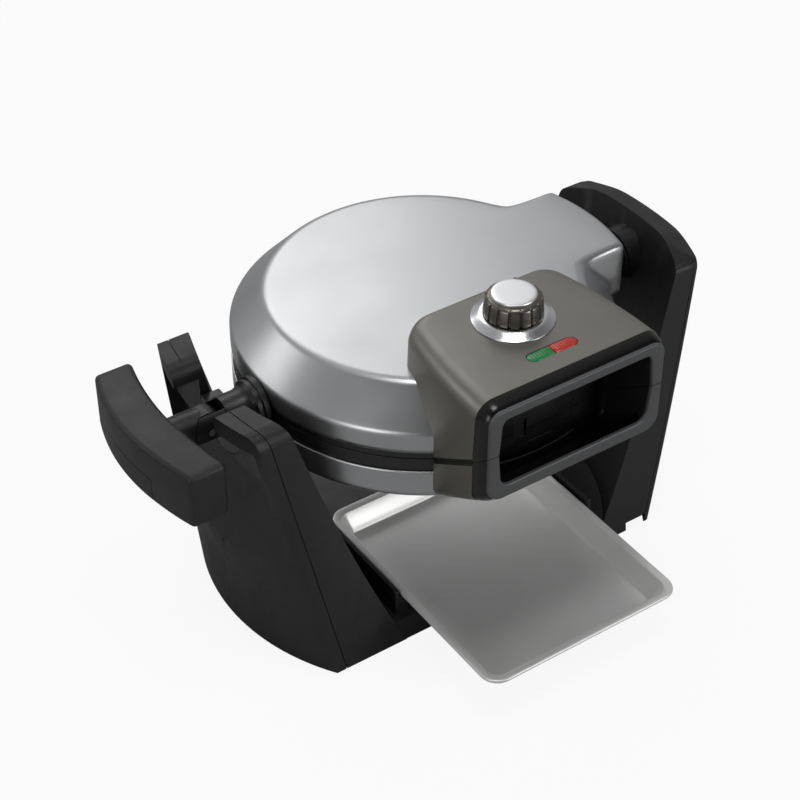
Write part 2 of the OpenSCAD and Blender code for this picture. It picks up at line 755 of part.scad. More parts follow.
// Grip face outline and finger opening, seen from the front
face_set = 4.2;
face_low_set = 4.5;
face_top_set = 3.6;
face_low = front_low + face_low_set;
face_top = front_top - face_top_set;
face_half = front_half - face_set;
face_low_r = 10;
face_top_r = 8;
module face_outline() polygon(rounded([[-face_half, face_low], [face_half, face_low],
    [face_half, face_top], [-face_half, face_top]], [face_low_r, face_low_r, face_top_r, face_top_r]));
sill_h = 8.5;
lintel_h = 6.6;
open_half = face_half - face_rim;
open_low = face_low + sill_h;
open_top = face_top - lintel_h;
open_bow = 2.3;
open_r = 6;
bow_h = 12;
module opening_outline(low, e) polygon(rounded([[-open_half + open_bow - e, low - e],
    [open_half - open_bow + e, low - e], [open_half + e, open_low + bow_h],
    [open_half + e, open_top - bow_h], [open_half - open_bow + e, open_top + e],
    [-open_half + open_bow - e, open_top + e], [-open_half - e, open_top - bow_h],
    [-open_half - e, open_low + bow_h]], [open_r + e, open_r + e, 0, 0, open_r + e, open_r + e, 0, 0]));

// Room of the finger opening, grown by e: its floor falls to the rear and its back follows the body
well_t = 1.8;
well_off = 3;
well_r = body_r + well_off;
well_deep = 23.5;
well_back = body_r - well_deep;
floor_slope = 0.6;
floor_thick = sqrt(1 + floor_slope * floor_slope);
function floor_at(y, e) = open_low - floor_slope * (front_reach - y) - e * floor_thick;
module well_zone(e) difference() {
    intersection() {
        along_y(-front_reach - over, -well_back) opening_outline(floor_at(well_r, 0), e);
        along_x(-body_r, body_r) polygon([[-front_reach - over, floor_at(front_reach + over, e)],
            [-well_back, floor_at(well_back, e)], [-well_back, front_top],
            [-front_reach - over, front_top]]);
    }
    translate([0, 0, lower_bottom]) cylinder(r = well_r - e, h = front_top, $fn = fine);
}

// Places of the knob and of the lamps in the housing's top
knob_x = 0;
knob_y = -front_reach + knob_back;
lamp_x = 0;
lamp_back = 26;
lamp_y = -front_reach + lamp_back;
lamp_len = 34.5;
lamp_w = 8.5;
spindle_r = 3;
spindle_room = 8;
module lens_outline(len, w) {
    square([len - w, w], center = true);
    for (k = [-1, 1]) translate([k * (len - w) / 2, 0]) circle(r = w / 2, $fn = 48);
}

// Between the two halves of the housing stays a stripe that the flanges of the linings fill
stripe_half = 2.35;
module upper_housing() color("#77756d") difference() {
    intersection() {
        housing_shell();
        zone_above(stripe_half);
    }
    lid_solid(-seat, band_low);
    translate([knob_x, knob_y, lid_top]) cylinder(r = spindle_room, h = front_rise + over, $fn = 48);
    translate([lamp_x, lamp_y, open_top]) linear_extrude(front_rise) lens_outline(lamp_len, lamp_w);
}
module lower_housing() color("#77756d") difference() {
    intersection() {
        housing_shell();
        zone_below(stripe_half);
    }
    lower_solid(-seat, front_top);
}

module bezel() difference() {
    hull() {
        along_y(-bezel_y - slice, -bezel_y) front_outline(front_half, front_low, front_top, 0);
        along_y(-front_reach + face_t, -front_reach + face_t + slice) face_outline();
    }
    well_zone(well_t + seat);
}
module grip_face() difference() {
    along_y(-front_reach, -front_reach + face_t) face_outline();
    along_y(-front_reach - over, -bezel_y) opening_outline(open_low, 0);
}
module upper_bezel() color("#141415") intersection() {
    bezel();
    zone_above(half_parting);
}
module lower_bezel() color("#141415") intersection() {
    bezel();
    zone_below(half_parting);
}
module upper_grip_face() color("#555557") intersection() {
    grip_face();
    zone_above(half_parting);
}
module lower_grip_face() color("#555557") intersection() {
    grip_face();
    zone_below(half_parting);
}

// Lining of the finger opening, with two latch windows in its back and the flange round it
latch_w = 9;
latch_x = 17;
latch_rise = 14;
latch_z = split_z + latch_rise;
latch_half = 7.5;
latch_deep = 8;
stripe_in = 1;
stripe_y = bezel_y - seat;
flange_half = stripe_half - seat;
module grip_flange() intersection() {
    linear_extrude(front_top) difference() {
        polygon(concat([for (y = concat(side_steps, [stripe_y])) [half_at(y) - stripe_in, -y]],
            [for (y = concat([stripe_y], [for (i = [len(side_steps) - 1:-1:0]) side_steps[i]]))
                [-half_at(y) + stripe_in, -y]]));
        circle(r = body_r + seat, $fn = fine);
    }
    along_x(-body_r, body_r) polygon([[-side_steps[0], split_z - flange_half],
        [-bend_y, split_z - flange_half], [-stripe_y, part_line(stripe_y) - flange_half],
        [-stripe_y, part_line(stripe_y) + flange_half], [-bend_y, split_z + flange_half],
        [-side_steps[0], split_z + flange_half]]);
}
module grip_well() difference() {
    union() {
        intersection() {
            well_zone(well_t);
            block([-body_r, -front_reach + face_t, lower_bottom], [body_r, 0, front_top]);
        }
        grip_flange();
    }
    well_zone(0);
    for (s = [-1, 1]) block([s * latch_x - latch_w / 2, -well_r - over, latch_z - latch_half],
        [s * latch_x + latch_w / 2, -well_r + latch_deep, latch_z + latch_half]);
}
module upper_grip_well() color("#1e1e1f") intersection() {
    grip_well();
    zone_above(half_parting);
}
module lower_grip_well() color("#1e1e1f") intersection() {
    grip_well();
    zone_below(half_parting);
}

// Hub on the left: flange, domed neck, journal and the fork of the fold joint
hub_x0 = body_r + gap;
hub_x1 = hub_x0 + hub_flange_t;
module left_hub() color("#29292b") {
    difference() {
        union() {
            bar_x(hub_flange_r, -hub_x1, -hub_x0);
            translate([-bearing_x0 + gap, 0, axis_h]) rotate([0, 90, 0])
                cylinder(r1 = journal_r, r2 = hub_flange_r - hub_step,
                    h = bearing_x0 - gap - hub_x1, $fn = 72);
            bar_x(journal_r, -shelf_x, -hub_x1);
            bar_x(shaft_r, -fold_x, -shelf_x);
            fold_eye(knuckle_r, -shaft_r, shaft_r);
        }
        // Slot of the fork
        block([-fold_x - shaft_r - over, -tongue_half - gap, axis_h - shaft_r - over],
            [-fold_x + shaft_r + gap, tongue_half + gap, axis_h + shaft_r + over]);
        fold_eye(fold_pin_r + seat / 4, -shaft_r - over, shaft_r + over);
    }
    hub_tongue(0);
}
module fold_eye(r, from, to) translate([-fold_x, to, axis_h]) rotate([90, 0, 0])
    cylinder(r = r, h = to - from, $fn = 60);

module fold_pin() color("silver") fold_eye(fold_pin_r, -shaft_r + pin_set, shaft_r - pin_set);

module handle_shaft() color("#2f2f31") difference() {
    union() {
        intersection() {
            bar_x(shaft_r, -fold_x - grip_back + tongue_short, -fold_x);
            block([-fold_x - grip_back, -tongue_half, 0], [-fold_x, tongue_half, support_h]);
        }
        fold_eye(knuckle_r, -tongue_half, tongue_half);
        bar_x(shaft_r, -grip_in - shaft_in, -fold_x - shaft_r - gap);
    }
    fold_eye(fold_pin_r + run, -shaft_r, shaft_r);
}

// Crescent grip, hollow for the button, in plan
button_half = 25;
button_h = 17;
button_deep = 10;
module grip_plan(e) difference() {
    intersection() {
        translate([-grip_out + grip_out_r, 0]) circle(r = grip_out_r - e, $fn = fine * 2);
        translate([-grip_out - over, -grip_half + e]) square([grip_t * 2, (grip_half - e) * 2]);
    }
    translate([-grip_in + grip_in_r, 0]) circle(r = grip_in_r + e, $fn = fine * 2);
}
grip_edge = 2;
module handle_grip() color("#333335") difference() {
    union() {
        translate([0, 0, grip_low + grip_edge]) linear_extrude(grip_h - grip_edge * 2) grip_plan(0);
        translate([0, 0, grip_low + grip_edge / 2]) linear_extrude(grip_h - grip_edge)
            grip_plan(grip_edge / 3);
        translate([0, 0, grip_low]) linear_extrude(grip_h) grip_plan(grip_edge);
    }
    bar_x(shaft_r + seat / 2, -grip_in - shaft_in - seat, -grip_in + grip_t);
    block([-grip_out - over, -button_half - gap, grip_low - over],
        [-grip_out + button_deep + button_travel + gap, button_half + gap, grip_low + button_h + gap]);
    bar_x(spring_r + gap, -grip_out + button_deep, -grip_out + button_deep + button_travel + spring_len,
        0, grip_low + button_h / 2);
}
spring_r = 3;
spring_len = 7;
module release_button() color("#3a3a3c")
    translate([0, 0, grip_low + grip_edge]) linear_extrude(button_h - grip_edge) intersection() {
        translate([-grip_out + grip_out_r, 0]) circle(r = grip_out_r, $fn = fine * 2);
        translate([-grip_out - over, -button_half]) square([button_deep + over, button_half * 2]);
    }
spring_wire = 0.5;
spring_pitch = 1.05;
spring_set = 1;
spring_lap = 0.05;
module button_spring() color("silver") for (k = [0:4])
    translate([-grip_out + button_deep + button_travel + spring_len - spring_set - k * spring_pitch, 0,
        grip_low + button_h / 2]) rotate([0, 90, 0]) rotate_extrude($fn = 32)
        translate([spring_r - spring_wire, 0]) circle(r = spring_wire + spring_lap, $fn = 16);

// Hollow pivot on the right, with the flange that holds it inside the neck
module pivot_shaft() color("#8d8f92") difference() {
    union() {
        bar_x(pivot_r, pivot_in, right_in + boss_in - pivot_short);
        bar_x(pivot_collar_r, neck_reach + gap, right_in - boss_reach - bush_flange_t - gap);
        bar_x(pivot_r + pivot_step, pivot_in, neck_reach + over);
        block([pivot_in, -pivot_collar_r, lower_crease + sheet + seat],
            [neck_reach - pivot_foot_in, pivot_collar_r, axis_h - pivot_bore_r]);
    }
    bar_x(pivot_bore_r, pivot_in - over, right_in + right_t);
}

// Hinge at the rear: bracket with two outer knuckles, lid leaf with the middle one, and their pin
module knuckle(from, to) bar_x(hinge_r, from, to, hinge_y, split_z);
module hinge_bore() bar_x(hinge_bore_r + run, -hinge_half - over, hinge_half + over, hinge_y, split_z);
module hinge_bracket() color("#3b3b3d") difference() {
    union() {
        for (s = [-1, 1]) {
            knuckle(s > 0 ? hinge_mid + gap : -hinge_half, s > 0 ? hinge_half : -hinge_mid - gap);
            block([s > 0 ? hinge_mid + gap : -hinge_half, hinge_wall_y - leaf_t, split_low - arm_h],
                [s > 0 ? hinge_half : -hinge_mid - gap, hinge_y, split_low - seat]);
        }
        block([-leaf_half, hinge_wall_y - leaf_t, split_low - leaf_h],
            [leaf_half, hinge_wall_y - seat, split_low - seat]);
    }
    hinge_bore();
    bar_x(hinge_r + gap, -hinge_mid - gap, hinge_mid + gap, hinge_y, split_z);
}
module lid_hinge() color("#3b3b3d") difference() {
    union() {
        knuckle(-hinge_mid, hinge_mid);
        block([-hinge_mid, hinge_wall_y - leaf_t, split_up + seat], [hinge_mid, hinge_y, split_up + arm_h]);
        block([-leaf_half, hinge_wall_y - leaf_t, split_up + seat],
            [leaf_half, hinge_wall_y - seat, split_up + leaf_h]);
    }
    hinge_bore();
    for (s = [-1, 1]) bar_x(hinge_r + gap, s > 0 ? hinge_mid : -hinge_half - gap,
        s > 0 ? hinge_half + gap : -hinge_mid, hinge_y, split_z);
}
module hinge_pin() color("silver") bar_x(hinge_bore_r, -hinge_half + pin_set, hinge_half - pin_set,
    hinge_y, split_z);

// Screws that hold the plates to their rings
plate_screw_r = 1.6;
plate_screw_off = 1;
plate_screw_ring = plate_r + plate_screw_off;
plate_screw_t = 1.8;
module plate_screws() for (a = [20, 100, 170, 230, 340]) rotate(a)
    translate([plate_screw_ring, 0, -plate_t * 2 - seat - plate_screw_t])
        cylinder(r = plate_screw_r * 2, h = plate_screw_t, $fn = 24);
module lower_screws() color("silver") translate([0, 0, split_low]) plate_screws();
module upper_screws() color("silver") translate([0, 0, split_up]) mirror([0, 0, 1]) plate_screws();

// Knob: collar on the housing, fluted skirt, cap
collar_h = 4;
collar_lip = 1;
knob_z = front_top + collar_h + gap;
module knob_collar() color("#d2d3d4") translate([knob_x, knob_y, front_top]) difference() {
    cylinder(r1 = collar_r, r2 = knob_r + collar_lip, h = collar_h, $fn = 72);
    translate([0, 0, -over]) cylinder(r = spindle_room, h = collar_h + over * 2, $fn = 48);
}
cap_r = 13.2;
cap_t = 1.2;
cap_seat = 0.6;
skirt_draft = 1.2;
skirt_edge = 3;
groove_r = 1.5;
groove_set = 0.6;
groove_stop = 1;
stat_base = lid_top + seat;
spindle_lift = 4;
spindle_z = lid_top + spindle_lift;
spindle_top = knob_z + knob_h - skirt_edge - over;
module knob_spindle() color("silver") translate([knob_x, knob_y, spindle_z])
    cylinder(r = spindle_r, h = spindle_top - spindle_z, $fn = 48);
module knob_skirt() color("#5b574e") translate([knob_x, knob_y, knob_z]) difference() {
    union() {
        cylinder(r1 = knob_r, r2 = knob_r - skirt_draft, h = knob_h - skirt_edge, $fn = 72);
        translate([0, 0, knob_h - skirt_edge]) cylinder(r1 = knob_r - skirt_draft,
            r2 = cap_r + skirt_draft, h = skirt_edge, $fn = 72);
    }
    for (i = [0:knob_grooves - 1]) rotate(i * 360 / knob_grooves)
        translate([knob_r + groove_set, 0, -over])
            cylinder(r = groove_r, h = knob_h + over - groove_stop, $fn = 16);
    translate([0, 0, -over]) cylinder(r = spindle_r + seat / 2, h = knob_h - skirt_edge + over, $fn = 48);
    translate([0, 0, knob_h - cap_seat]) cylinder(r = cap_r + seat / 2, h = over, $fn = 72);
}
module knob_cap() color("#e6e6e6") translate([knob_x, knob_y, knob_z + knob_h - cap_seat])
    cylinder(r1 = cap_r, r2 = cap_r - cap_seat, h = cap_t, $fn = 72);

// Thermostat on the lid's top, inside the housing, with the bush that carries the knob's spindle
stat_half = 15;
stat_deep = 12;
stat_h = 13;
stat_bush_r = 6;
module thermostat() color("#9a9488") translate([knob_x, knob_y, stat_base]) difference() {
    union() {
        block([-stat_half, -stat_deep, 0], [stat_half, stat_deep, stat_h]);
        cylinder(r = stat_bush_r, h = front_top + collar_h / 2 - stat_base, $fn = 48);
    }
    translate([0, 0, over]) cylinder(r = spindle_r + run, h = front_rise + collar_h, $fn = 48);
}

// Lamp holder on the lining's roof and the two lenses over it
holder_z = open_top + well_t + seat;
holder_t = 1.4;
holder_edge = 4;
lens_out = 0.4;
module lamp_holder() color("#cfcac0") translate([lamp_x, lamp_y, holder_z]) linear_extrude(holder_t)
    lens_outline(lamp_len + holder_edge, lamp_w + holder_edge);
lens_z = holder_z + holder_t + seat;
module lens(from, to) intersection() {
    translate([lamp_x, lamp_y, lens_z]) linear_extrude(front_top + lens_out - lens_z)
        lens_outline(lamp_len - seat * 2, lamp_w - seat * 2);
    translate([lamp_x, lamp_y, 0]) block([from, -lamp_w, lid_top], [to, lamp_w, front_top + over]);
}
module ready_lens() color("#1f9a50") lens(-lamp_len, 0);
module power_lens() color("#d8432a") lens(0, lamp_len);

left_support();
right_support();
right_outer_cover();
base_bridge();
bottom_pan();
saddle_bearing();
pivot_bush();
rubber_feet();
base_screws();
cord_gland();
drip_tray();
lower_cover();
lower_ring();
lower_plate();
lower_element();
lower_housing();
lower_bezel();
lower_grip_face();
lower_grip_well();
left_hub();
pivot_shaft();
hinge_bracket();
hinge_pin();
lower_screws();
upper_cover();
upper_ring();
upper_plate();
upper_element();
upper_housing();
upper_bezel();
upper_grip_face();
upper_grip_well();
ready_lens();
power_lens();
lamp_holder();
knob_collar();
thermostat();
lid_hinge();
upper_screws();
knob_spindle();
knob_skirt();
knob_cap();
handle_shaft();
handle_grip();
fold_pin();
button_spring();
release_button();
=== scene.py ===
import json
from math import acos, atan2, ceil, cos, degrees, exp, hypot, pi, radians, sin, sqrt, tan, tau

import bmesh
import bpy
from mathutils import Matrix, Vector


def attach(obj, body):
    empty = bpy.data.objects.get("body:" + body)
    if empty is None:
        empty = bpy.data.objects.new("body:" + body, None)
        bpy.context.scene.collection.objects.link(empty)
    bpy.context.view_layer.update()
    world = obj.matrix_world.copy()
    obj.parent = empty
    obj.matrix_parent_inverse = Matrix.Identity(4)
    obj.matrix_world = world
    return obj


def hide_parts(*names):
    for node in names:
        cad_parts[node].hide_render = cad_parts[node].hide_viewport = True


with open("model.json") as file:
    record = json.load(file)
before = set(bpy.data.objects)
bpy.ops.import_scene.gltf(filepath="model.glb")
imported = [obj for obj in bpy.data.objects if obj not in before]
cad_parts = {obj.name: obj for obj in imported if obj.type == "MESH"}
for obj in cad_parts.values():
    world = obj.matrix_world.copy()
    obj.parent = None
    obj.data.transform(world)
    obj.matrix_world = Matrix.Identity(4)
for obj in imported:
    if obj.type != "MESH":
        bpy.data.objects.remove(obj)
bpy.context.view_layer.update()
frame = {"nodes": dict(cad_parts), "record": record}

# The waffle maker, in millimetres. X is the turning axis, -Y the front, and the table is z = 0
MM = 0.001
AXIS_Z = 160.0
SPLIT_Z = 158.0
HALF_PARTING = 0.2

scene = bpy.context.scene
nodes = frame["nodes"]
body_of_node = {n: b for b, members in frame["record"]["behaviour"]["bodies"].items() for n in members}
slot_of_node = {s["node"]: s["material_slot"] for s in frame["record"]["subparts"]}


# Materials

def linear(hex_colour):
    """An sRGB hex colour as linear RGBA."""
    channels = [int(hex_colour[i:i + 2], 16) / 255 for i in (1, 3, 5)]
    return [c / 12.92 if c <= 0.04045 else ((c + 0.055) / 1.055) ** 2.4 for c in channels] + [1.0]


def add(tree, kind, links=(), to=None, **settings):
    """Adds a node. Settings name its properties, its input sockets with _ for a space, or inN for input N.
    Links are (input, source node, output), and to is (output, the node it feeds, input)."""
    made = tree.nodes.new(kind)
    for name, value in settings.items():
        if hasattr(made, name):
            setattr(made, name, value)
        else:
            key = int(name[2:]) if name.startswith("in") and name[2:].isdigit() else name.replace("_", " ")
            made.inputs[key].default_value = value
    for key, source, output in links:
        tree.links.new(source.outputs[output], made.inputs[key])
    if to:
        output, fed, key = to
        tree.links.new(made.outputs[output], fed.inputs[key])
    return made


# Where a Mix node set to RGBA keeps its mixed colour; its two colours are inputs 6 and 7
MIXED_COLOUR = 2
# Nearly all of a noise lies between these two values
NOISE_LOW, NOISE_HIGH = 0.3, 0.7
# Widths of the faint clouds on mouldings, on sheet and on small parts
MOULDING_CLOUD, SHEET_CLOUD, SMALL_CLOUD = 40.0, 70.0, 25.0
# The fleck of the silver, and the step from rib to rib under the lenses
FLECK, RIB = 0.9, 1.9635
# How high the clouds of small parts, the fleck and the ribs stand
CLOUD_RISE, FLECK_RISE, RIB_RISE = 0.02, 0.006, 0.05


def material(name, colour, roughness, metallic=0.0, ior=None, transmission=0.0):
    """A material with its shader; returns (material, tree, shader)."""
    made = bpy.data.materials.new(name)
    made.use_nodes = True
    tree = made.node_tree
    shader = tree.nodes["Principled BSDF"]
    shader.inputs["Base Color"].default_value = linear(colour)
    shader.inputs["Roughness"].default_value = roughness
    shader.inputs["Metallic"].default_value = metallic
    shader.inputs["Transmission Weight"].default_value = transmission
    if ior:
        shader.inputs["IOR"].default_value = ior
    return made, tree, shader


def clouded(tree, shader, where, size_mm, low, high, colours=None):
    """Faint clouds of that size, from handling and moulding: the roughness drifts between low and high, and
    the colour between its two."""
    noise = add(tree, "ShaderNodeTexNoise", [("Vector", where, "Object")], Scale=1 / (size_mm * MM),
                Detail=3.0, Roughness=0.6)
    add(tree, "ShaderNodeMapRange", [("Value", noise, "Fac")], ("Result", shader, "Roughness"),
        From_Min=NOISE_LOW, From_Max=NOISE_HIGH, To_Min=low, To_Max=high)
    if colours:
        add(tree, "ShaderNodeMix", [(0, noise, "Fac")], (MIXED_COLOUR, shader, "Base Color"),
            data_type="RGBA", in6=linear(colours[0]), in7=linear(colours[1]))
    return noise


def textured_abs(name, colour_low, colour_high, grain_mm, rise_mm, low=0.42, high=0.6):
    """Moulding from a spark-eroded tool: an even grain that breaks up each highlight. The grain is drawn
    coarser than the real one, so that it shows."""
    made, tree, shader = material(name, colour_low, low, ior=1.5)
    where = add(tree, "ShaderNodeTexCoord")
    clouded(tree, shader, where, MOULDING_CLOUD, low, high, (colour_low, colour_high))
    grain = add(tree, "ShaderNodeTexNoise", [("Vector", where, "Object")], Scale=1 / (grain_mm * MM),
                Detail=2.0, Roughness=0.55)
    add(tree, "ShaderNodeBump", [("Height", grain, "Fac")], ("Normal", shader, "Normal"),
        Distance=rise_mm * MM)
    return made


def sprayed_silver(name, colour_low, colour_high, low, high, metallic=0.9):
    """Pressed sheet with a satin silver surface: soft wide highlights. Its fleck is drawn coarser than the
    real one, so that it shows."""
    made, tree, shader = material(name, colour_low, low, metallic=metallic)
    where = add(tree, "ShaderNodeTexCoord")
    clouded(tree, shader, where, SHEET_CLOUD, low, high, (colour_low, colour_high))
    fleck = add(tree, "ShaderNodeTexNoise", [("Vector", where, "Object")], Scale=1 / (FLECK * MM),
                Detail=2.0)
    add(tree, "ShaderNodeBump", [("Height", fleck, "Fac")], ("Normal", shader, "Normal"),
        Distance=FLECK_RISE * MM)
    return made


def plain_moulding(name, colour, roughness, spread=0.06, metallic=0.0):
    """Moulded, painted or plated surface, plain but for its clouds, which are raised a little."""
    made, tree, shader = material(name, colour, roughness, metallic=metallic)
    where = add(tree, "ShaderNodeTexCoord")
    clouds = clouded(tree, shader, where, SMALL_CLOUD, roughness - spread, roughness + spread)
    add(tree, "ShaderNodeBump", [("Height", clouds, "Fac")], ("Normal", shader, "Normal"),
        Distance=CLOUD_RISE * MM)
    return made


def tinted_lens(name, colour):
    """Clear tinted polycarbonate over a lamp: bright inside, glossy outside, ribbed underneath."""
    made, tree, shader = material(name, colour, 0.12, transmission=0.15, ior=1.58)
    shader.inputs["Emission Color"].default_value = linear(colour)
    shader.inputs["Emission Strength"].default_value = 0.12
    where = add(tree, "ShaderNodeTexCoord")
    # A wave texture's bands lie tau / 20 / Scale apart
    ribs = add(tree, "ShaderNodeTexWave", [("Vector", where, "Object")], Scale=tau / 20 / (RIB * MM),
               bands_direction="X")
    add(tree, "ShaderNodeBump", [("Height", ribs, "Fac")], ("Normal", shader, "Normal"),
        Distance=RIB_RISE * MM)
    return made


finishes = {
    # Sprayed sheet: pale metal with wide, soft highlights
    "lid_silver": sprayed_silver("satin_silver_sheet", "#b9babb", "#c6c7c8", 0.30, 0.38),
    # Grained ABS: near black that greys where light grazes it
    "stand_black": textured_abs("grained_black_abs", "#161617", "#1d1d1e", 0.9, 0.09),
    # The same ABS from a finer tool: darker and more even
    "stand_black_outer": textured_abs("grained_black_abs_outer", "#151617", "#1b1c1d", 0.9, 0.05),
    # Plain underside moulding: flat black
    "underside_black": textured_abs("plain_black_abs", "#101011", "#161617", 1.4, 0.04),
    # Acetal: waxy charcoal with a blurred sheen
    "bearing_plastic": plain_moulding("dark_acetal", "#242423", 0.4),
    # Oiled bronze: brown black with a dull glint
    "bronze": plain_moulding("blackened_bronze", "#2c2924", 0.42, metallic=0.6),
    # Rubber: matt black, no highlight
    "foot_rubber": textured_abs("foot_rubber", "#161616", "#1c1c1c", 1.0, 0.04, 0.7, 0.85),
    # Zinc plate: bright grey metal
    "screw_steel": plain_moulding("zinc_plated_steel", "#b8b8b6", 0.3, metallic=1.0),
    # Satin steel tray: paler than the lid and less like a mirror
    "tray_steel": sprayed_silver("satin_tray_steel", "#e4e4e2", "#f0f0ee", 0.34, 0.44, 0.45),
    # Phenolic with a coarse grain: black that sparkles in specks
    "ring_black": textured_abs("coarse_black_phenolic", "#1a1a1b", "#2a2b2c", 1.2, 0.3, 0.34, 0.52),
    # Non-stick coat on cast aluminium: a dark, slightly greasy sheen
    "cast_nonstick": textured_abs("nonstick_on_cast_aluminium", "#1a1a1b", "#232324", 2.0, 0.05, 0.3, 0.42),
    # Heater tube after many heats: dull brownish grey
    "element_steel": plain_moulding("oxidised_tube", "#5c5650", 0.5, metallic=0.8),
    # Metallic paint: warm grey that lightens softly towards the light
    "housing_bronze": plain_moulding("bronze_grey_paint", "#7c7a73", 0.38, 0.05, metallic=0.55),
    # Polished ABS: deep black with one narrow bright edge
    "bezel_black": plain_moulding("gloss_black_abs", "#050506", 0.24, 0.03),
    # Satin paint on the grip's frame: mid grey, low sheen
    "face_grey": plain_moulding("satin_grey_paint", "#58595a", 0.42, 0.05, metallic=0.3),
    # Speckled lining: black with many small glints
    "well_black": textured_abs("speckled_black_abs", "#161617", "#222223", 1.2, 0.35, 0.28, 0.46),
    # Nylon: smooth black with a soft band of light along it
    "hub_black": textured_abs("satin_black_nylon", "#111112", "#171718", 1.2, 0.03, 0.34, 0.46),
    # Blackened turned steel: dark with a narrow glint
    "pivot_steel": plain_moulding("blackened_pivot", "#29292a", 0.36, metallic=0.6),
    "hinge_steel": plain_moulding("blackened_steel", "#2a2a2c", 0.4, metallic=0.6),
    # Turned aluminium: bright, with sharp light and dark rings
    "collar_silver": plain_moulding("bright_aluminium", "#e2e2e3", 0.24, 0.03, metallic=1.0),
    # Gunmetal paint: dark warm grey with bright ridges
    "knob_grey": plain_moulding("gunmetal_paint", "#77736b", 0.3, 0.04, metallic=0.8),
    # Satin aluminium: near white and even
    "knob_silver": plain_moulding("satin_aluminium", "#f0f0f1", 0.36, 0.03, metallic=0.9),
    # Tinted polycarbonate: deep colour that glows a little
    "lens_green": tinted_lens("green_polycarbonate", "#0a7a3c"),
    "lens_red": tinted_lens("red_polycarbonate", "#b82a14"),
    # Heat-proof moulding: chalky beige
    "ceramic": plain_moulding("heatproof_moulding", "#b9b4a8", 0.6),
    # Grained ABS of the grip and its button: black with a velvety grey cast
    "grip_black": textured_abs("grained_black_grip", "#19191a", "#212122", 0.9, 0.12, 0.42, 0.58),
    "button_black": textured_abs("grained_black_button", "#18191a", "#1e1f20", 0.9, 0.05, 0.45, 0.6),
}


# Mesh helpers

def place(obj, node):
    """Gives a piece the finish of a CAD node, and lets it ride on that node's body."""
    slot = slot_of_node[node]
    obj.data.materials.clear()
    obj.data.materials.append(finishes[slot])
    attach(obj, body_of_node[node])
    return obj


def stands_for(obj, node):
    """Lets a piece take a CAD node's place."""
    place(obj, node)
    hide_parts(node)
    return obj


def smooth(obj, angle=30):
    """Smooth shading that leaves the edges sharper than angle."""
    obj.data.shade_smooth()
    obj.data.set_sharp_from_angle(angle=radians(angle))
    return obj


def linked(name, data):
    """A new object in the scene."""
    obj = bpy.data.objects.new(name, data)
    scene.collection.objects.link(obj)
    return obj


# Points closer than this are merged: in a new mesh, and in a copy of a CAD node. A copy also loses its
# edges that turn by less than so many degrees
WELD, CAD_WELD, CAD_FLAT = 0.002, 0.004, 0.4
# A copy's edges are softened where they turn by more than this
EDGE_ANGLE = 32
# How far cutting pieces reach from a face or an axis, past all that they cut
BEYOND = 20.0


def mesh_piece(name, vertices, faces, angle=30):
    """A mesh object at the origin from points in millimetres."""
    mesh = bpy.data.meshes.new(name)
    mesh.from_pydata([[c * MM for c in v] for v in vertices], [], faces)
    work = bmesh.new()
    work.from_mesh(mesh)
    bmesh.ops.remove_doubles(work, verts=work.verts, dist=WELD * MM)
    bmesh.ops.recalc_face_normals(work, faces=work.faces)
    work.to_mesh(mesh)
    work.free()
    return smooth(linked(name, mesh), angle)


def skin(name, rows, caps=(True, True), angle=30, ring=False):
    """A piece through closed rows of equally many points. caps close its ends, ring joins last to first."""
    count = len(rows[0])
    vertices = [p for row in rows for p in row]
    faces = []
    for i in range(len(rows) if ring else len(rows) - 1):
        low, high = i * count, (i + 1) % len(rows) * count
        for j in range(count):
            k = (j + 1) % count
            faces.append([low + j, low + k, high + k, high + j])
    if caps[0] and not ring:
        faces.append(list(range(count))[::-1])
    if caps[1] and not ring:
        faces.append(list(range(len(vertices) - count, len(vertices))))
    return mesh_piece(name, vertices, faces, angle)


def open_skin(name, rows):
    """A piece through open rows of equally many points."""
    count = len(rows[0])
    faces = [[i * count + j, i * count + j + 1, (i + 1) * count + j + 1, (i + 1) * count + j]
             for i in range(len(rows) - 1) for j in range(count - 1)]
    return mesh_piece(name, [p for row in rows for p in row], faces)


def box_piece(name, low, high):
    """A block between its lowest and its highest corner."""
    vertices = [(x, y, z) for x in (low[0], high[0]) for y in (low[1], high[1]) for z in (low[2], high[2])]
    return mesh_piece(name, vertices, [[0, 1, 3, 2], [4, 6, 7, 5], [0, 4, 5, 1], [2, 3, 7, 6], [0, 2, 6, 4],
                                       [1, 5, 7, 3]])


def circle(radius, count):
    """Points of a circle round (0, 0)."""
    return [(radius * cos(tau * i / count), radius * sin(tau * i / count)) for i in range(count)]


def bar_x(name, profile, count=72):
    """A body of revolution about the turning axis from (distance to the left, radius) points."""
    return skin(name, [[(-x, y, AXIS_Z + z) for y, z in circle(r, count)] for x, r in profile])


def lathe(name, profile, centre, count=96, angle=30):
    """A closed body of revolution about an upright axis from (radius, height) points."""
    rows = [[(centre[0] + x, centre[1] + y, z) for x, y in circle(r, count)] for r, z in profile]
    return skin(name, rows, angle=angle)


def apply_modifiers(obj):
    """Turns what the modifiers give into the piece's own mesh."""
    graph = bpy.context.evaluated_depsgraph_get()
    mesh = bpy.data.meshes.new_from_object(obj.evaluated_get(graph))
    obj.modifiers.clear()
    obj.data = mesh
    return obj


def bevelled(obj, width_mm, segments=3, angle=30):
    """Rounds the edges that turn by more than angle."""
    made = obj.modifiers.new("soft_edges", "BEVEL")
    made.width = width_mm * MM
    made.segments = segments
    made.limit_method = "ANGLE"
    made.angle_limit = radians(angle)
    made.use_clamp_overlap = True
    made.harden_normals = True
    return obj


def walled(obj, wall_mm, side=-1.0):
    """Thickens an open shell, inwards unless side is 1."""
    made = obj.modifiers.new("wall", "SOLIDIFY")
    made.thickness = wall_mm * MM
    made.offset = side
    return obj


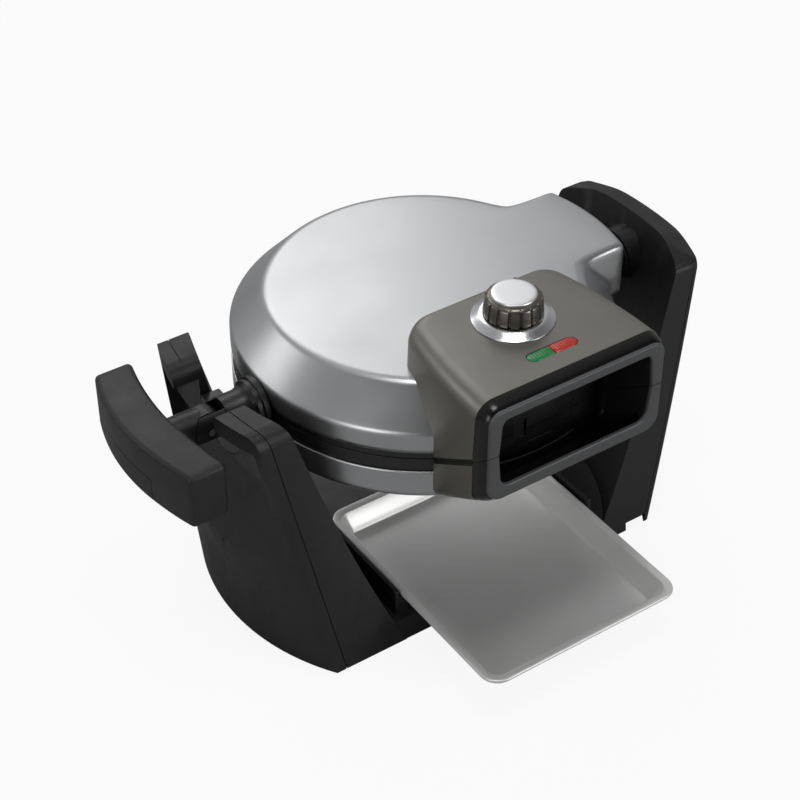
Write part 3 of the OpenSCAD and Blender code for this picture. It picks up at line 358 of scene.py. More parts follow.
def shaped(obj, operation, *others):
    """Cuts a piece by others, keeps what they share or joins them to it. The others are used up."""
    for other in others:
        made = obj.modifiers.new("shape", "BOOLEAN")
        made.operation, made.solver, made.object = operation, "EXACT", other
        apply_modifiers(obj)
        bpy.data.objects.remove(other)
    return obj


def bare_copy(node):
    """A merged copy of a CAD node, before its edges are softened."""
    mesh = nodes[node].data.copy()
    work = bmesh.new()
    work.from_mesh(mesh)
    bmesh.ops.remove_doubles(work, verts=work.verts, dist=CAD_WELD * MM)
    bmesh.ops.dissolve_limit(work, angle_limit=radians(CAD_FLAT), verts=work.verts, edges=work.edges)
    work.to_mesh(mesh)
    work.free()
    return linked(node + "_finished", mesh)


def edged(obj, node, edge_mm, segments=2):
    """Softens a copy's edges and lets it stand for its node."""
    return stands_for(bevelled(smooth(obj, EDGE_ANGLE), edge_mm, segments, EDGE_ANGLE), node)


def arc(centre, radius, start, end, count):
    """Points on an arc, angles in degrees."""
    return [(centre[0] + radius * cos(radians(start + (end - start) * i / count)),
             centre[1] + radius * sin(radians(start + (end - start) * i / count))) for i in range(count + 1)]


def quarter(count):
    """(sine, cosine) at even steps through a quarter turn."""
    return [(sin(pi / 2 * k / count), cos(pi / 2 * k / count)) for k in range(count + 1)]


def rounded(points, radii, count=6):
    """A closed outline with each corner rounded by its own radius."""
    out = []
    total = len(points)
    for i, (b, r) in enumerate(zip(points, radii)):
        if r == 0:
            out.append(b)
            continue
        b = Vector(b)
        u = (Vector(points[i - 1]) - b).normalized()
        v = (Vector(points[(i + 1) % total]) - b).normalized()
        half = acos(max(-1.0, min(1.0, u.dot(v)))) / 2
        middle = b + (u + v).normalized() * r / sin(half)
        start = b + u * r / tan(half) - middle
        end = b + v * r / tan(half) - middle
        from_angle = atan2(start.y, start.x)
        turn = (atan2(end.y, end.x) - from_angle + 3 * pi) % tau - pi
        for k in range(count + 1):
            a = from_angle + turn * k / count
            out.append((middle.x + r * cos(a), middle.y + r * sin(a)))
    return out


def soft_max(a, b, k):
    """The larger of two values, changing softly from one to the other where they differ by less than k."""
    gap = k - abs(a - b)
    return max(a, b) + (gap * gap / (4 * k) if gap > 0 else 0.0)


def round_in(left, radius):
    """How far a rounded edge has drawn in where left is still to go to its end."""
    return radius - sqrt(max(0.0, radius ** 2 - (radius - left) ** 2)) if left < radius else 0.0


# Lid and lower cover

# Each is a skin of rows about the middle. A row is the round cover's circle joined softly with the
# neck's outline, which draws in towards the neck's end to give it a soft rim.
BODY_R, SHEET = 118.5, 1.2
FLAT_R, LID_TOP, LID_CREASE = 96.5, 199.0, 176.0
LOWER_FLAT_R, LOWER_BOTTOM, LOWER_CREASE = 94.0, 118.0, 130.0
BAND_TOP, BAND_LOW, BAND_LAP = 163.0, 149.0, 0.2
CREASE_SOFT, TOP_SOFT = 6.0, 9.0
NECK_ARC, NECK_REACH, NECK_HALF, NECK_CORNER = 125.0, 132.0, 37.5, 6.0
NECK_FILLET, NECK_FADE, FILLET_CAP, NECK_ROOT = 5.0, 6.5, 1.6, 0.9
NECK_RIM, NECK_BLEND = 4.5, 5.0
# How far out the neck's side is looked for, and in how many halvings
NECK_FAR, HALVINGS = 240.0, 26
# Degrees from point to point round a cover: at the neck's sides, across the neck, and elsewhere
SIDE_TURN, NECK_TURN, ROUND_TURN = 0.25, 1.0, 2.0
SIDES_FROM, SIDES_TO = 14.0, 28.0
# The longest step along each cover's profile
LID_STEP, LOWER_STEP = 3.0, 1.5
# The part of the rims that is open for the hinge
HINGE_HALF, HINGE_Y, HINGE_HIGH = 38.0, 106.0, 11.2


def neck_radius(turn, inset, radius):
    """How far the neck's outline, drawn in by inset, lies from the middle in that direction. Its sides
    flare out a little where they leave the round cover, so the crossing is found by halving."""
    a = abs(turn)
    if a > pi / 4:
        return 0.0
    middle = NECK_REACH - NECK_ARC
    reach = middle * cos(a) + sqrt((NECK_ARC - inset) ** 2 - (middle * sin(a)) ** 2)
    low, high = 0.0, NECK_FAR
    for _ in range(HALVINGS):
        r = (low + high) / 2
        flare = min(FILLET_CAP, exp(-(r * cos(a) - NECK_ROOT * radius) / NECK_FADE))
        if r * sin(a) < NECK_HALF - inset + NECK_FILLET * flare:
            low = r
        else:
            high = r
    return -soft_max(-reach, -low, NECK_CORNER)


def cover_turns():
    """Directions round the cover, closer together at the neck's sides."""
    turns = []
    a = -180.0
    while a < 180.0 - 1e-6:
        turns.append(radians(a))
        at_side = SIDES_FROM < abs(a) < SIDES_TO
        a += SIDE_TURN if at_side else NECK_TURN if abs(a) < SIDES_TO else ROUND_TURN
    return turns


def cover_profile(wall_z, crease_z, flat_z, flat_r):
    """(radius, height) points of a cover from its open rim to its flat face."""
    corner = [(BODY_R, wall_z), (BODY_R, crease_z), (flat_r, flat_z), (0.0, flat_z), (0.0, wall_z)]
    return rounded(corner, [0, CREASE_SOFT, TOP_SOFT, 0, 0], 8)[:-2]


def refine_line(line, step):
    """The same line with no part longer than step."""
    out = [line[0]]
    for a, b in zip(line, line[1:]):
        parts = max(1, ceil(hypot(b[0] - a[0], b[1] - a[1]) / step))
        out += [(a[0] + (b[0] - a[0]) * i / parts, a[1] + (b[1] - a[1]) * i / parts)
                for i in range(1, parts + 1)]
    return out


def cover(name, line, neck_end, up, shares):
    """Skin through a profile's points, with the neck as far as neck_end; the flat face shrinks by shares."""
    rows = []
    turns = cover_turns()
    for radius, height in line:
        left = (neck_end - height) * up
        row = []
        for a in turns:
            r = radius
            if left >= 0:
                r = soft_max(radius, neck_radius(a, round_in(left, NECK_RIM), radius), NECK_BLEND)
            row.append((r * cos(a), r * sin(a), height))
        rows.append(row)
    rows += [[(x * s, y * s, z) for x, y, z in rows[-1]] for s in shares]
    return skin(name, rows, (False, True))


def hinge_cleared(obj):
    """Opens a cover's rim where the hinge passes."""
    work = bmesh.new()
    work.from_mesh(obj.data)
    gone = []
    for face in work.faces:
        p = face.calc_center_median() / MM
        if abs(p.x) < HINGE_HALF and p.y > HINGE_Y and abs(p.z - SPLIT_Z) < HINGE_HIGH:
            gone.append(face)
    bmesh.ops.delete(work, geom=gone, context="FACES")
    work.to_mesh(obj.data)
    work.free()
    return obj


lid_line = cover_profile(BAND_TOP + BAND_LAP, LID_CREASE, LID_TOP, FLAT_R)
lid_shares = [0.9, 0.75, 0.6, 0.45, 0.3, 0.15, 0.05]
lid = cover("lid_cover", refine_line(lid_line, LID_STEP), LID_TOP, 1, lid_shares)
stands_for(walled(hinge_cleared(lid), SHEET), "upper_cover")
lower_line = cover_profile(BAND_LOW - BAND_LAP, LOWER_CREASE, LOWER_BOTTOM, LOWER_FLAT_R)
lower = cover("lower_cover_skin", refine_line(lower_line, LOWER_STEP), LOWER_CREASE, -1, [0.8, 0.5, 0.2])
stands_for(walled(hinge_cleared(lower), SHEET), "lower_cover")

# Drip tray
TRAY = (5.0, -79.0)
TRAY_HALF, TRAY_LEN, TRAY_CORNER = 72.5, 91.0, 12.0
TRAY_RIM_Z, TRAY_DEEP, TRAY_SHEET = 34.0, 14.0, 0.7
BEAD, TRAY_FOOT, TRAY_ANGLE = 1.25, 1.3, 25
# The lip: how far in from the rim, how far above the bead's middle, and the corner's radius
TRAY_LIP = ((3.2, 0.75, 9.2), (4.9, 0.65, 8.2), (5.5, 0.35, 7.8), (5.8, -0.4, 7.6))
# The wall: how far in it starts and how far it leans, its ends below the bead's middle and above the floor,
# and its corner's radius at the top with what that loses on the way down
WALL_IN, WALL_LEAN, WALL_TOP, WALL_END = 5.9, 6.0, 0.9, 1.4
WALL_CORNER, CORNER_LOSS = 7.5, 4.6
# The floor: how far in it starts, how far above the full depth it lies, and its corner's radius
FLOOR_IN, FLOOR_UP, FLOOR_CORNER = 12.0, 0.2, 2.6


def tray_row(inset, z, corner):
    """The tray's outline at a height, drawn in by inset."""
    half, length = TRAY_HALF - inset, TRAY_LEN - inset
    outline = rounded([(-half, -length), (half, -length), (half, length), (-half, length)], [corner] * 4, 8)
    return [(TRAY[0] + x, TRAY[1] + y, z) for x, y in outline]


def drip_tray():
    """Pressed tray: a rolled bead, a narrow lip, steep walls that meet in creased corners, and the floor."""
    rim = TRAY_RIM_Z - BEAD
    low = TRAY_RIM_Z - TRAY_DEEP + FLOOR_UP
    fall = low + WALL_END - rim + WALL_TOP
    rows = []
    for k in range(13):
        a = radians(-150 + 240 * k / 12)
        inset = BEAD - BEAD * cos(a)
        rows.append(tray_row(inset, rim + BEAD * sin(a), TRAY_CORNER - inset))
    rows += [tray_row(inset, rim + rise, corner) for inset, rise, corner in TRAY_LIP]
    rows += [tray_row(WALL_IN + WALL_LEAN * share, rim - WALL_TOP + fall * share,
                      WALL_CORNER - CORNER_LOSS * share) for share in (0.25, 0.5, 0.75)]
    rows += [tray_row(FLOOR_IN + TRAY_FOOT * (1 - c), low + TRAY_FOOT * (1 - s), FLOOR_CORNER)
             for s, c in quarter(4)]
    rows += [tray_row(inset, low, FLOOR_CORNER) for inset in (22.0, 36.0, 50.0)] + [tray_row(64.0, low, 1.5)]
    return skin("drip_tray_finished", rows, (False, True), TRAY_ANGLE)


stands_for(smooth(apply_modifiers(walled(drip_tray(), TRAY_SHEET)), TRAY_ANGLE), "drip_tray")

# Crescent grip and its button
FOLD_X = 155.5
GRIP_IN, GRIP_OUT = 179.5, 206.5
GRIP_IN_R, GRIP_OUT_R = 205.0, 154.0
GRIP_HALF, GRIP_H, GRIP_EDGE, GRIP_CORNER, CORNER_LEAST = 55.0, 37.5, 3.4, 3.2, 0.6
GRIP_LOW = AXIS_Z - GRIP_H / 2
# The front end is longer by this, in a stretch that starts so far out and is so long
NEAR_LONGER, LONGER_FROM, LONGER_OVER = 3.6, 30.0, 25.0
BUTTON_HALF, BUTTON_H, BUTTON_GAP = 25.0, 17.0, 0.5
BUTTON_DEEP, BUTTON_ROOM, BUTTON_PAST = 10.0, 13.4, 4.0
# The shaft, how far it goes into the grip, and its fit there
SHAFT_R, SHAFT_IN, SHAFT_FIT = 11.0, 6.0, 0.1


def grip_outline(inset):
    """Plan of the crescent: outer arc, one end, inner arc, other end. Its front end is a little longer."""
    outer = (-GRIP_OUT + GRIP_OUT_R, GRIP_OUT_R - inset)
    inner = (-GRIP_IN + GRIP_IN_R, GRIP_IN_R + inset)
    end = GRIP_HALF - inset
    out_a, in_a = [degrees(atan2(end, sqrt(r ** 2 - end ** 2))) for _, r in (outer, inner)]
    a = arc((outer[0], 0), outer[1], 180 - out_a, 180 + out_a, 24)
    b = arc((inner[0], 0), inner[1], 180 + in_a, 180 - in_a, 24)
    radii = [0] * len(a + b)
    for k in (0, len(a) - 1, len(a), len(a) + len(b) - 1):
        radii[k] = max(CORNER_LEAST, GRIP_CORNER - inset)
    return [(x, y + NEAR_LONGER * (y + LONGER_FROM) / LONGER_OVER if y < -LONGER_FROM else y)
            for x, y in rounded(a + b, radii, 4)]


def grip():
    """The whole crescent, with its long edges rounded."""
    rows = [(GRIP_EDGE * (1 - s), GRIP_LOW + GRIP_EDGE * (1 - c)) for s, c in quarter(5)]
    rows += [(0.0, AXIS_Z)] + [(i, 2 * AXIS_Z - z) for i, z in rows[::-1]]
    return skin("handle_grip_finished", [[(x, y, z) for x, y in grip_outline(i)] for i, z in rows], angle=35)


def button_block(grow, deep):
    """Room of the release button, grown by grow, let into the outer face by deep."""
    outside, inside, half = -GRIP_OUT - BUTTON_PAST, -GRIP_OUT + deep, BUTTON_HALF + grow
    rows = [[(outside, -half, z), (outside, half, z), (inside, half, z), (inside, -half, z)]
            for z in (GRIP_LOW - BUTTON_PAST, GRIP_LOW + BUTTON_H + grow)]
    return skin("button_room", rows)


def copy_of(obj, name):
    """A new piece with a copy of another's mesh."""
    return linked(name, obj.data.copy())


whole = grip()
shaft_room = bar_x("shaft_room", [(GRIP_IN + SHAFT_IN, SHAFT_R + SHAFT_FIT),
                                  (GRIP_IN - BEYOND, SHAFT_R + SHAFT_FIT)], 48)
handle = shaped(copy_of(whole, "handle_grip_cut"), "DIFFERENCE", button_block(BUTTON_GAP, BUTTON_ROOM),
                shaft_room)
stands_for(smooth(handle, 35), "handle_grip")
button = shaped(copy_of(whole, "release_button_finished"), "INTERSECT", button_block(0.0, BUTTON_DEEP))
bpy.data.objects.remove(whole)
stands_for(smooth(button, 35), "release_button")

# Hub, shaft and fold joint
JOURNAL_R, FLANGE_R = 12.0, 16.8
HUB_X, SHELF_X = 118.9, 144.1
# The tongue on the shaft: half its width, how far its flats lie inside the shaft's round, and how far short
# of the grip it ends
TONGUE_HALF, TONGUE_FLAT, TONGUE_END = 5.0, 1.0, 2.0
FORK_GAP, PIN_R, PIN_FIT = 0.4, 2.55, 0.05
# Radii about the fold pin: the fork's eye, the tongue's eye, and the room for the fork in the shaft
EYE_R, TONGUE_R, KNUCKLE_R = SHAFT_R - 0.2, SHAFT_R - 0.5, SHAFT_R + 0.3
# The tongue by which the hub is held in the cooker: half its width, its reach in and out from the flange,
# and its height
HUB_TONGUE_HALF, HUB_TONGUE_IN, HUB_LAP, HUB_TONGUE_LOW, HUB_TONGUE_TOP = 12.0, 20.0, 1.0, 143.0, 151.0


def bar_y(name, radius, low, high):
    """A round bar across the fold joint."""
    return skin(name, [[(-FOLD_X + x, y, AXIS_Z + z) for x, z in circle(radius, 64)] for y in (low, high)])


def flange_profile():
    """Rim, step, then a hollow cone that runs into the journal."""
    x = HUB_X
    points = [(x, FLANGE_R - 0.6), (x + 0.6, FLANGE_R), (x + 3.6, FLANGE_R), (x + 4.2, FLANGE_R - 0.6),
              (x + 4.2, FLANGE_R - 1.3), (x + 7.0, FLANGE_R - 1.4), (x + 7.7, FLANGE_R - 2.0)]
    points += [(x + 7.7 + 4.8 * k / 6, FLANGE_R - 2.0 - 2.8 * sqrt(k / 6)) for k in range(1, 7)]
    return points + [(SHELF_X, JOURNAL_R), (SHELF_X + 0.02, SHAFT_R)]


hub = bar_x("left_hub_finished", flange_profile() + [(FOLD_X, SHAFT_R)])
eye = shaped(bar_y("eye", EYE_R, -SHAFT_R - 1, SHAFT_R + 1), "INTERSECT",
             bar_x("keep_round", [(SHELF_X, SHAFT_R), (FOLD_X + BEYOND, SHAFT_R)]))
shaped(hub, "UNION", eye)
shaped(hub, "DIFFERENCE",
       box_piece("slot", (-FOLD_X - BEYOND, -TONGUE_HALF - FORK_GAP, AXIS_Z - BEYOND),
                 (-FOLD_X + SHAFT_R + FORK_GAP, TONGUE_HALF + FORK_GAP, AXIS_Z + BEYOND)),
       bar_y("pin_hole", PIN_R, -BEYOND, BEYOND))
shaped(hub, "UNION", box_piece("hub_tongue", (-HUB_X - HUB_LAP, -HUB_TONGUE_HALF, HUB_TONGUE_LOW),
                               (-HUB_X + HUB_TONGUE_IN, HUB_TONGUE_HALF, HUB_TONGUE_TOP)))
stands_for(smooth(hub), "left_hub")

shaft = bar_x("handle_shaft_finished", [(FOLD_X, SHAFT_R), (GRIP_IN + SHAFT_IN, SHAFT_R)])
shaped(shaft, "DIFFERENCE", bar_y("knuckle_room", KNUCKLE_R, -BEYOND, BEYOND),
       box_piece("fold_room", (-FOLD_X - SHAFT_R - FORK_GAP, -BEYOND, AXIS_Z - BEYOND),
                 (-FOLD_X + BEYOND, BEYOND, AXIS_Z)))
tongue = box_piece("tongue", (-GRIP_IN + TONGUE_END, -TONGUE_HALF, AXIS_Z - SHAFT_R + TONGUE_FLAT),
                   (-FOLD_X, TONGUE_HALF, AXIS_Z + SHAFT_R - TONGUE_FLAT))
shaped(tongue, "UNION", bar_y("tongue_eye", TONGUE_R, -TONGUE_HALF, TONGUE_HALF))
shaped(shaft, "UNION", tongue)
shaped(shaft, "DIFFERENCE", bar_y("pin_room", PIN_R + PIN_FIT, -BEYOND, BEYOND))
stands_for(smooth(shaft), "handle_shaft")

# Supports
FOOT_Y, FRONT_LEAN = 83.5, 26.0 / 185.0
LEFT_TOP, LEFT_CORNER, LEFT_EDGE, RIGHT_EDGE = 185.0, 10.0, 1.0, 1.2
# Radius of the left support's outer face at the axis, and how much it grows with each millimetre of height
LEFT_BOW, BOW_GROWTH = 161.5, 0.095
# The seam: how far in from the outer face, its width and depth, how far its cutter stands out, and its
# lowest end
SEAM_IN, SEAM, SEAM_OUT, SEAM_FROM = 7.5, 0.7, 2.0, -6.0
# Half the saddle's mouth, the radii of the arms' edges beside it, and where their cutters start and end
SADDLE_R, REAR_ARM, FRONT_ARM, ARM_REACH = 24.0, 9.0, 3.5, (-190.0, -110.0)
# The crown: its height at its ends and over its middle, half the width of its middle, and the radii at both.
# It falls by CROWN_FALL of the way out from CROWN_X, and the piece that shapes it spans CROWN_REACH
CROWN_END, CROWN_TOP, CROWN_HALF, CROWN_CORNER, CROWN_ROUND = 181.5, 187.3, 30.0, 9.0, 80.0
CROWN_X, CROWN_FALL, CROWN_REACH = 165.0, 0.23, (60.0, 230.0)
# What the crown keeps of a support reaches this far to each side and down
KEEP_HALF, KEEP_LOW = 90.0, -5.0
# The notch in the right support's foot, from corner to corner
FOOT_NOTCH = ((108.0, -96.0, -2.0), (134.0, -70.0, 7.5))


def side_y(z):
    """How far a support's front and rear edges lie from its middle at a height."""
    return FOOT_Y - FRONT_LEAN * z


def left_out(y, z):
    """Outer face of the left support."""
    return -sqrt((LEFT_BOW + BOW_GROWTH * (z - AXIS_Z)) ** 2 - y * y)


def seam_cutter():
    """A fine groove that parts the inner from the outer moulding, up the front, over the top and down."""
    line = rounded([(-side_y(SEAM_FROM), SEAM_FROM), (-side_y(LEFT_TOP), LEFT_TOP), (0.0, LEFT_TOP),
                    (side_y(LEFT_TOP), LEFT_TOP), (side_y(SEAM_FROM), SEAM_FROM)],
                   [0, LEFT_CORNER, 0, LEFT_CORNER, 0], 8)
    rows = []
    for i, (y, z) in enumerate(line):
        before, after = line[max(0, i - 1)], line[min(len(line) - 1, i + 1)]
        along = Vector((after[0] - before[0], after[1] - before[1])).normalized()
        x = left_out(y, max(z, 0.0)) + SEAM_IN
        rows.append([(x + side * SEAM / 2, y - along.y * d, z + along.x * d)
                     for side, d in ((-1, SEAM_OUT), (-1, -SEAM), (1, -SEAM), (1, SEAM_OUT))])
    return skin("seam", rows)


def arm_cutter(side, radius):
    """What rounds an arm's top edge towards the saddle."""
    line = [(SADDLE_R - 1, LEFT_TOP - radius), (SADDLE_R, LEFT_TOP - radius)]
    line += [(SADDLE_R + radius * (1 - cos(radians(a))), LEFT_TOP - radius * (1 - sin(radians(a))))
             for a in range(10, 91, 10)]
    line += [(SADDLE_R + radius, LEFT_TOP + 1), (SADDLE_R - 1, LEFT_TOP + 1)]
    return skin("arm_edge", [[(x, side * y, z) for y, z in line] for x in ARM_REACH])


def crown_keeper():
    """What lies under the right support's crown, which is nearly level and falls a little outwards."""
    end = side_y(CROWN_END)
    line = rounded([(-KEEP_HALF, KEEP_LOW), (KEEP_HALF, KEEP_LOW), (end, CROWN_END), (CROWN_HALF, CROWN_TOP),
                    (-CROWN_HALF, CROWN_TOP), (-end, CROWN_END)],
                   [0, 0, CROWN_CORNER, CROWN_ROUND, CROWN_ROUND, CROWN_CORNER], 8)
    return skin("crown", [[(x, y, z - CROWN_FALL * (x - CROWN_X) if z > AXIS_Z else z) for y, z in line]
                          for x in CROWN_REACH])


left = shaped(bare_copy("left_support"), "DIFFERENCE", seam_cutter(), arm_cutter(1, REAR_ARM),
              arm_cutter(-1, FRONT_ARM))
edged(left, "left_support", LEFT_EDGE, 3)
right = shaped(bare_copy("right_support"), "INTERSECT", crown_keeper())
shaped(right, "DIFFERENCE", box_piece("foot_notch", *FOOT_NOTCH))
edged(right, "right_support", RIGHT_EDGE, 3)
outer = shaped(bare_copy("right_outer_cover"), "INTERSECT", crown_keeper())
edged(outer, "right_outer_cover", RIGHT_EDGE, 3)

# Control housing and grip

# The handle's parting line is level at the body and rises to the front. The housing is one soft-shouldered
# shell above it and one below, with a dark stripe between them.
HOUSING_HALF, HOUSING_TAPER, HOUSING_BACK = 65.2, 10.5, 57.0
HOUSING_TOP, HOUSING_LOW, HOUSING_WALL = 225.6, 155.0, 2.4
BEZEL_Y, FACE_Y, REACH = 140.5, 148.2, 150.5
SHOULDER, REAR_CORNER, REAR_EDGE, CHIN = 11.0, 12.0, 3.0, 8.0
LOW_SLOPE, GRIP_SLOPE, BEND_Y = 0.65, 0.69, 100.6
STRIPE_HALF = 2.35
DRAFT_Z, SIDE_DRAFT = 191.0, 1.3
# The upper shell starts just above the stripe where it is farther to the front than this, and elsewhere so
# deep in the lid's skin. The strip along its back that doesn't lean is so wide
STRIPE_FROM, SUNK, BACK_STRIP = 99.5, 0.8, 4.0
# Where the housing's sides have points, closer together at the front and where the parting line bends
SIDE_YS = [140.5, 139.5, 137.0, 132.0, 126.0, 120.0, 114.0, 108.0, 104.0, 101.5, 100.7, 99.0, 96.0, 92.0,
           87.0, 82.0, 77.0, 72.0]


def half_at(y):
    """Half the housing's width at a distance to the front."""
    return HOUSING_HALF - HOUSING_TAPER * ((BEZEL_Y - y) / (BEZEL_Y - HOUSING_BACK)) ** 2


def part_line(y):
    """Height of the handle's parting line at a distance to the front."""
    return SPLIT_Z + GRIP_SLOPE * max(y - BEND_Y, 0.0)


def lean_in(z):
    """How far the housing's side has leaned in at a height, shoulder included."""
    drawn = SIDE_DRAFT * max(z - DRAFT_Z, 0.0) / (HOUSING_TOP - DRAFT_Z)
    return drawn + round_in(HOUSING_TOP - z, SHOULDER)


def mirrored(half):
    """A left half outline that ends on the middle, with its right half added."""
    return half + [(-x, v) for x, v in half[-2::-1]]


def housing_plan(z):
    """The open outline at a height: left front, round the back, right front, as (x, y)."""
    side = [(-half_at(y) + lean_in(z), -y) for y in SIDE_YS]
    back = -HOUSING_BACK - round_in(HOUSING_TOP - z, REAR_EDGE)
    corner = (-half_at(HOUSING_BACK) + lean_in(z), back)
    middle = [(x, back) for x in (-30.0, -15.0, 0.0)]
    return mirrored(rounded(side + [corner] + middle + [(0.0, -90.0)],
                            [0] * len(side) + [REAR_CORNER] + [0] * 4, 10)[:-1])


band_line = cover_profile(BAND_TOP, LID_CREASE, LID_TOP, FLAT_R)


def lid_height(r):
    """Height of the lid's skin at a radius."""
    for (r0, z0), (r1, z1) in zip(band_line[::-1], band_line[-2::-1]):
        if r0 <= r <= r1 and r1 > r0:
            return z0 + (z1 - z0) * (r - r0) / (r1 - r0)
    return LID_TOP if r < FLAT_R else 0.0


def upper_housing():
    """Skin from the stripe or the lid up over the shoulders to the middle of the top."""
    rows = []
    start = HOUSING_TOP - SHOULDER
    for share in (0.0, 0.03, 0.12, 0.3, 0.5, 0.7, 0.85, 1.0):
        row = []
        for x, y in housing_plan(start):
            low = max(BAND_TOP, lid_height(hypot(x, y)) - SUNK)
            if -y > STRIPE_FROM:
                low = part_line(-y) + STRIPE_HALF
            z = low + (start - low) * share
            lean = lean_in(start) - lean_in(z) if -y > HOUSING_BACK + BACK_STRIP else 0.0
            row.append((x + lean if x > 0 else x - lean, y, z))
        rows.append(row)
    for s, _ in quarter(12)[1:]:
        z = HOUSING_TOP - SHOULDER * (1 - s)
        rows.append([(x, y, z) for x, y in housing_plan(z)])
    rows += [[(x * (1 - share), y, z) for x, y, z in rows[-1]] for share in (0.25, 0.5, 0.75, 1.0)]
    return open_skin("control_housing", rows)


def chin_outline(y):
    """The lower shell's open outline at a distance to the front, from its left edge round to its right."""
    half, low, top = half_at(y), HOUSING_LOW - LOW_SLOPE * (BEZEL_Y - y), part_line(y) - STRIPE_HALF
    side = [(-half, top + (low + CHIN - top) * k / 4) for k in range(5)]
    corner = arc((-half + CHIN, low + CHIN), CHIN, 180, 270, 8)[1:]
    return mirrored(side + corner + [((-half + CHIN) * k, low) for k in (0.75, 0.5, 0.25, 0.0)])


def lower_housing():
    """Skin from the bezel back to the round body."""
    ends = []
    for j in range(len(chin_outline(BEZEL_Y))):
        y = BODY_R
        for _ in range(12):
            y = sqrt((BODY_R + 0.1) ** 2 - chin_outline(y)[j][0] ** 2)
        ends.append(y)
    rows = []
    for k in range(15):
        row = []
        for j, end in enumerate(ends):
            y = BEZEL_Y + (end - BEZEL_Y) * k / 14
            x, z = chin_outline(y)[j]
            row.append((x, -y, z))
        rows.append(row)
    return open_skin("lower_housing_shell", rows)


def split_by_parting(obj, upper):
    """Keeps the part of a closed piece above or under the handle's sloping parting line."""
    work = bmesh.new()
    work.from_mesh(obj.data)
    normal = Vector((0.0, GRIP_SLOPE, 1.0)).normalized()
    point = Vector((0.0, -BEND_Y, SPLIT_Z + (HALF_PARTING if upper else -HALF_PARTING))) * MM
    cut = bmesh.ops.bisect_plane(work, geom=work.verts[:] + work.edges[:] + work.faces[:], plane_co=point,
                                 plane_no=normal, clear_inner=upper, clear_outer=not upper, dist=1e-7)
    edges = [e for e in cut["geom_cut"] if isinstance(e, bmesh.types.BMEdge)]
    bmesh.ops.holes_fill(work, edges=edges, sides=0)
    bmesh.ops.recalc_face_normals(work, faces=work.faces)
    work.to_mesh(obj.data)
    work.free()
    return obj


def both_halves(obj, upper_node, lower_node):
    """Splits a closed piece at the parting line; each half stands for its CAD node."""
    for node, upper in ((upper_node, True), (lower_node, False)):
        stands_for(smooth(split_by_parting(copy_of(obj, node + "_finished"), upper), 40), node)
    bpy.data.objects.remove(obj)


def front_outline(inset):
    """Outline of the housing's front end, as (x, z), from its lower left corner round by the right."""
    half, low, top = HOUSING_HALF - inset, HOUSING_LOW + inset, HOUSING_TOP - inset
    return rounded([(-half, low), (half, low), (half, DRAFT_Z), (half - SIDE_DRAFT, top),
                    (-half + SIDE_DRAFT, top), (-half, DRAFT_Z)], [CHIN, CHIN, 0, SHOULDER, SHOULDER, 0], 8)


FACE_HALF, FACE_LOW, FACE_TOP = 61.0, 159.5, 222.0
OPENING_HALF, OPENING_LOW, OPENING_TOP = 54.0, 168.0, 215.4
# Corner radii at the bottom and at the top, and how much the opening's sides draw in there
FACE_CORNERS, OPENING_CORNERS, OPENING_DRAWN = (10.0, 8.0), (7.0, 5.0), (2.3, 2.0)


def face_outline(inset=0.0):
    """Outline of the grip face."""
    half, low, top = FACE_HALF - inset, FACE_LOW + inset, FACE_TOP - inset
    low_r, top_r = FACE_CORNERS
    return rounded([(-half, low), (half, low), (half, DRAFT_Z), (half, top), (-half, top), (-half, DRAFT_Z)],
                   [low_r, low_r, 0, top_r, top_r, 0], 8)


def opening_outline(inset=0.0, floor_z=OPENING_LOW):
    """Outline of the finger opening, a little narrower at its floor and at its top."""
    half, low, top = OPENING_HALF - inset, floor_z + inset, OPENING_TOP - inset
    at_low, at_top = [half - drawn for drawn in OPENING_DRAWN]
    low_r, top_r = OPENING_CORNERS
    return rounded([(-at_low, low), (at_low, low), (half, DRAFT_Z), (at_top, top), (-at_top, top),
                    (-half, DRAFT_Z)], [low_r, low_r, 0, top_r, top_r, 0], 8)


def upright(outline, y):
    """An outline's points at a distance to the front."""
    return [(x, -y, z) for x, z in outline]


# How much of the bezel's way in and out follows a quarter circle, the rest being straight
BEZEL_IN_ROUND, BEZEL_OUT_ROUND = 0.55, 0.6
# The bezel: its step in from the housing and its gap to it, how far its bore lies outside the finger
# opening, and its gap round the grip face
BEZEL_STEP, BEZEL_GAP, BEZEL_BORE, FACE_GAP = 0.5, 0.05, 2.1, 0.2
# Roundings of the grip face's outer and inner edge
FACE_SOFT, BORE_SOFT = 0.9, 1.1


def bezel():
    """Gloss frame that rounds over from the housing's front edge to the grip face."""
    rows = []
    for k, (s, c) in enumerate(quarter(8)):
        share = BEZEL_IN_ROUND * (1 - c) + (1 - BEZEL_IN_ROUND) * k / 8
        out = BEZEL_OUT_ROUND * s + (1 - BEZEL_OUT_ROUND) * k / 8
        between = [(x0 + (x1 - x0) * share, z0 + (z1 - z0) * share)
                   for (x0, z0), (x1, z1) in zip(front_outline(BEZEL_STEP), face_outline(-FACE_GAP))]
        rows.append(upright(between, BEZEL_Y + BEZEL_GAP + (FACE_Y - BEZEL_Y) * out))
    rows += [upright(opening_outline(-BEZEL_BORE), y) for y in (FACE_Y, BEZEL_Y + BEZEL_GAP)]
    return skin("bezel", rows, angle=40, ring=True)


def grip_face():
    """Satin frame round the finger opening, soft at its edges."""
    rows = [upright(face_outline(), FACE_Y)]
    rows += [upright(face_outline(FACE_SOFT * (1 - c)), REACH - FACE_SOFT * (1 - s)) for s, c in quarter(4)]
    rows += [upright(opening_outline(-BORE_SOFT * (1 - s)), REACH - BORE_SOFT * (1 - c))
             for s, c in quarter(4)]
    rows.append(upright(opening_outline(), FACE_Y))
    return skin("grip_face", rows, angle=40, ring=True)


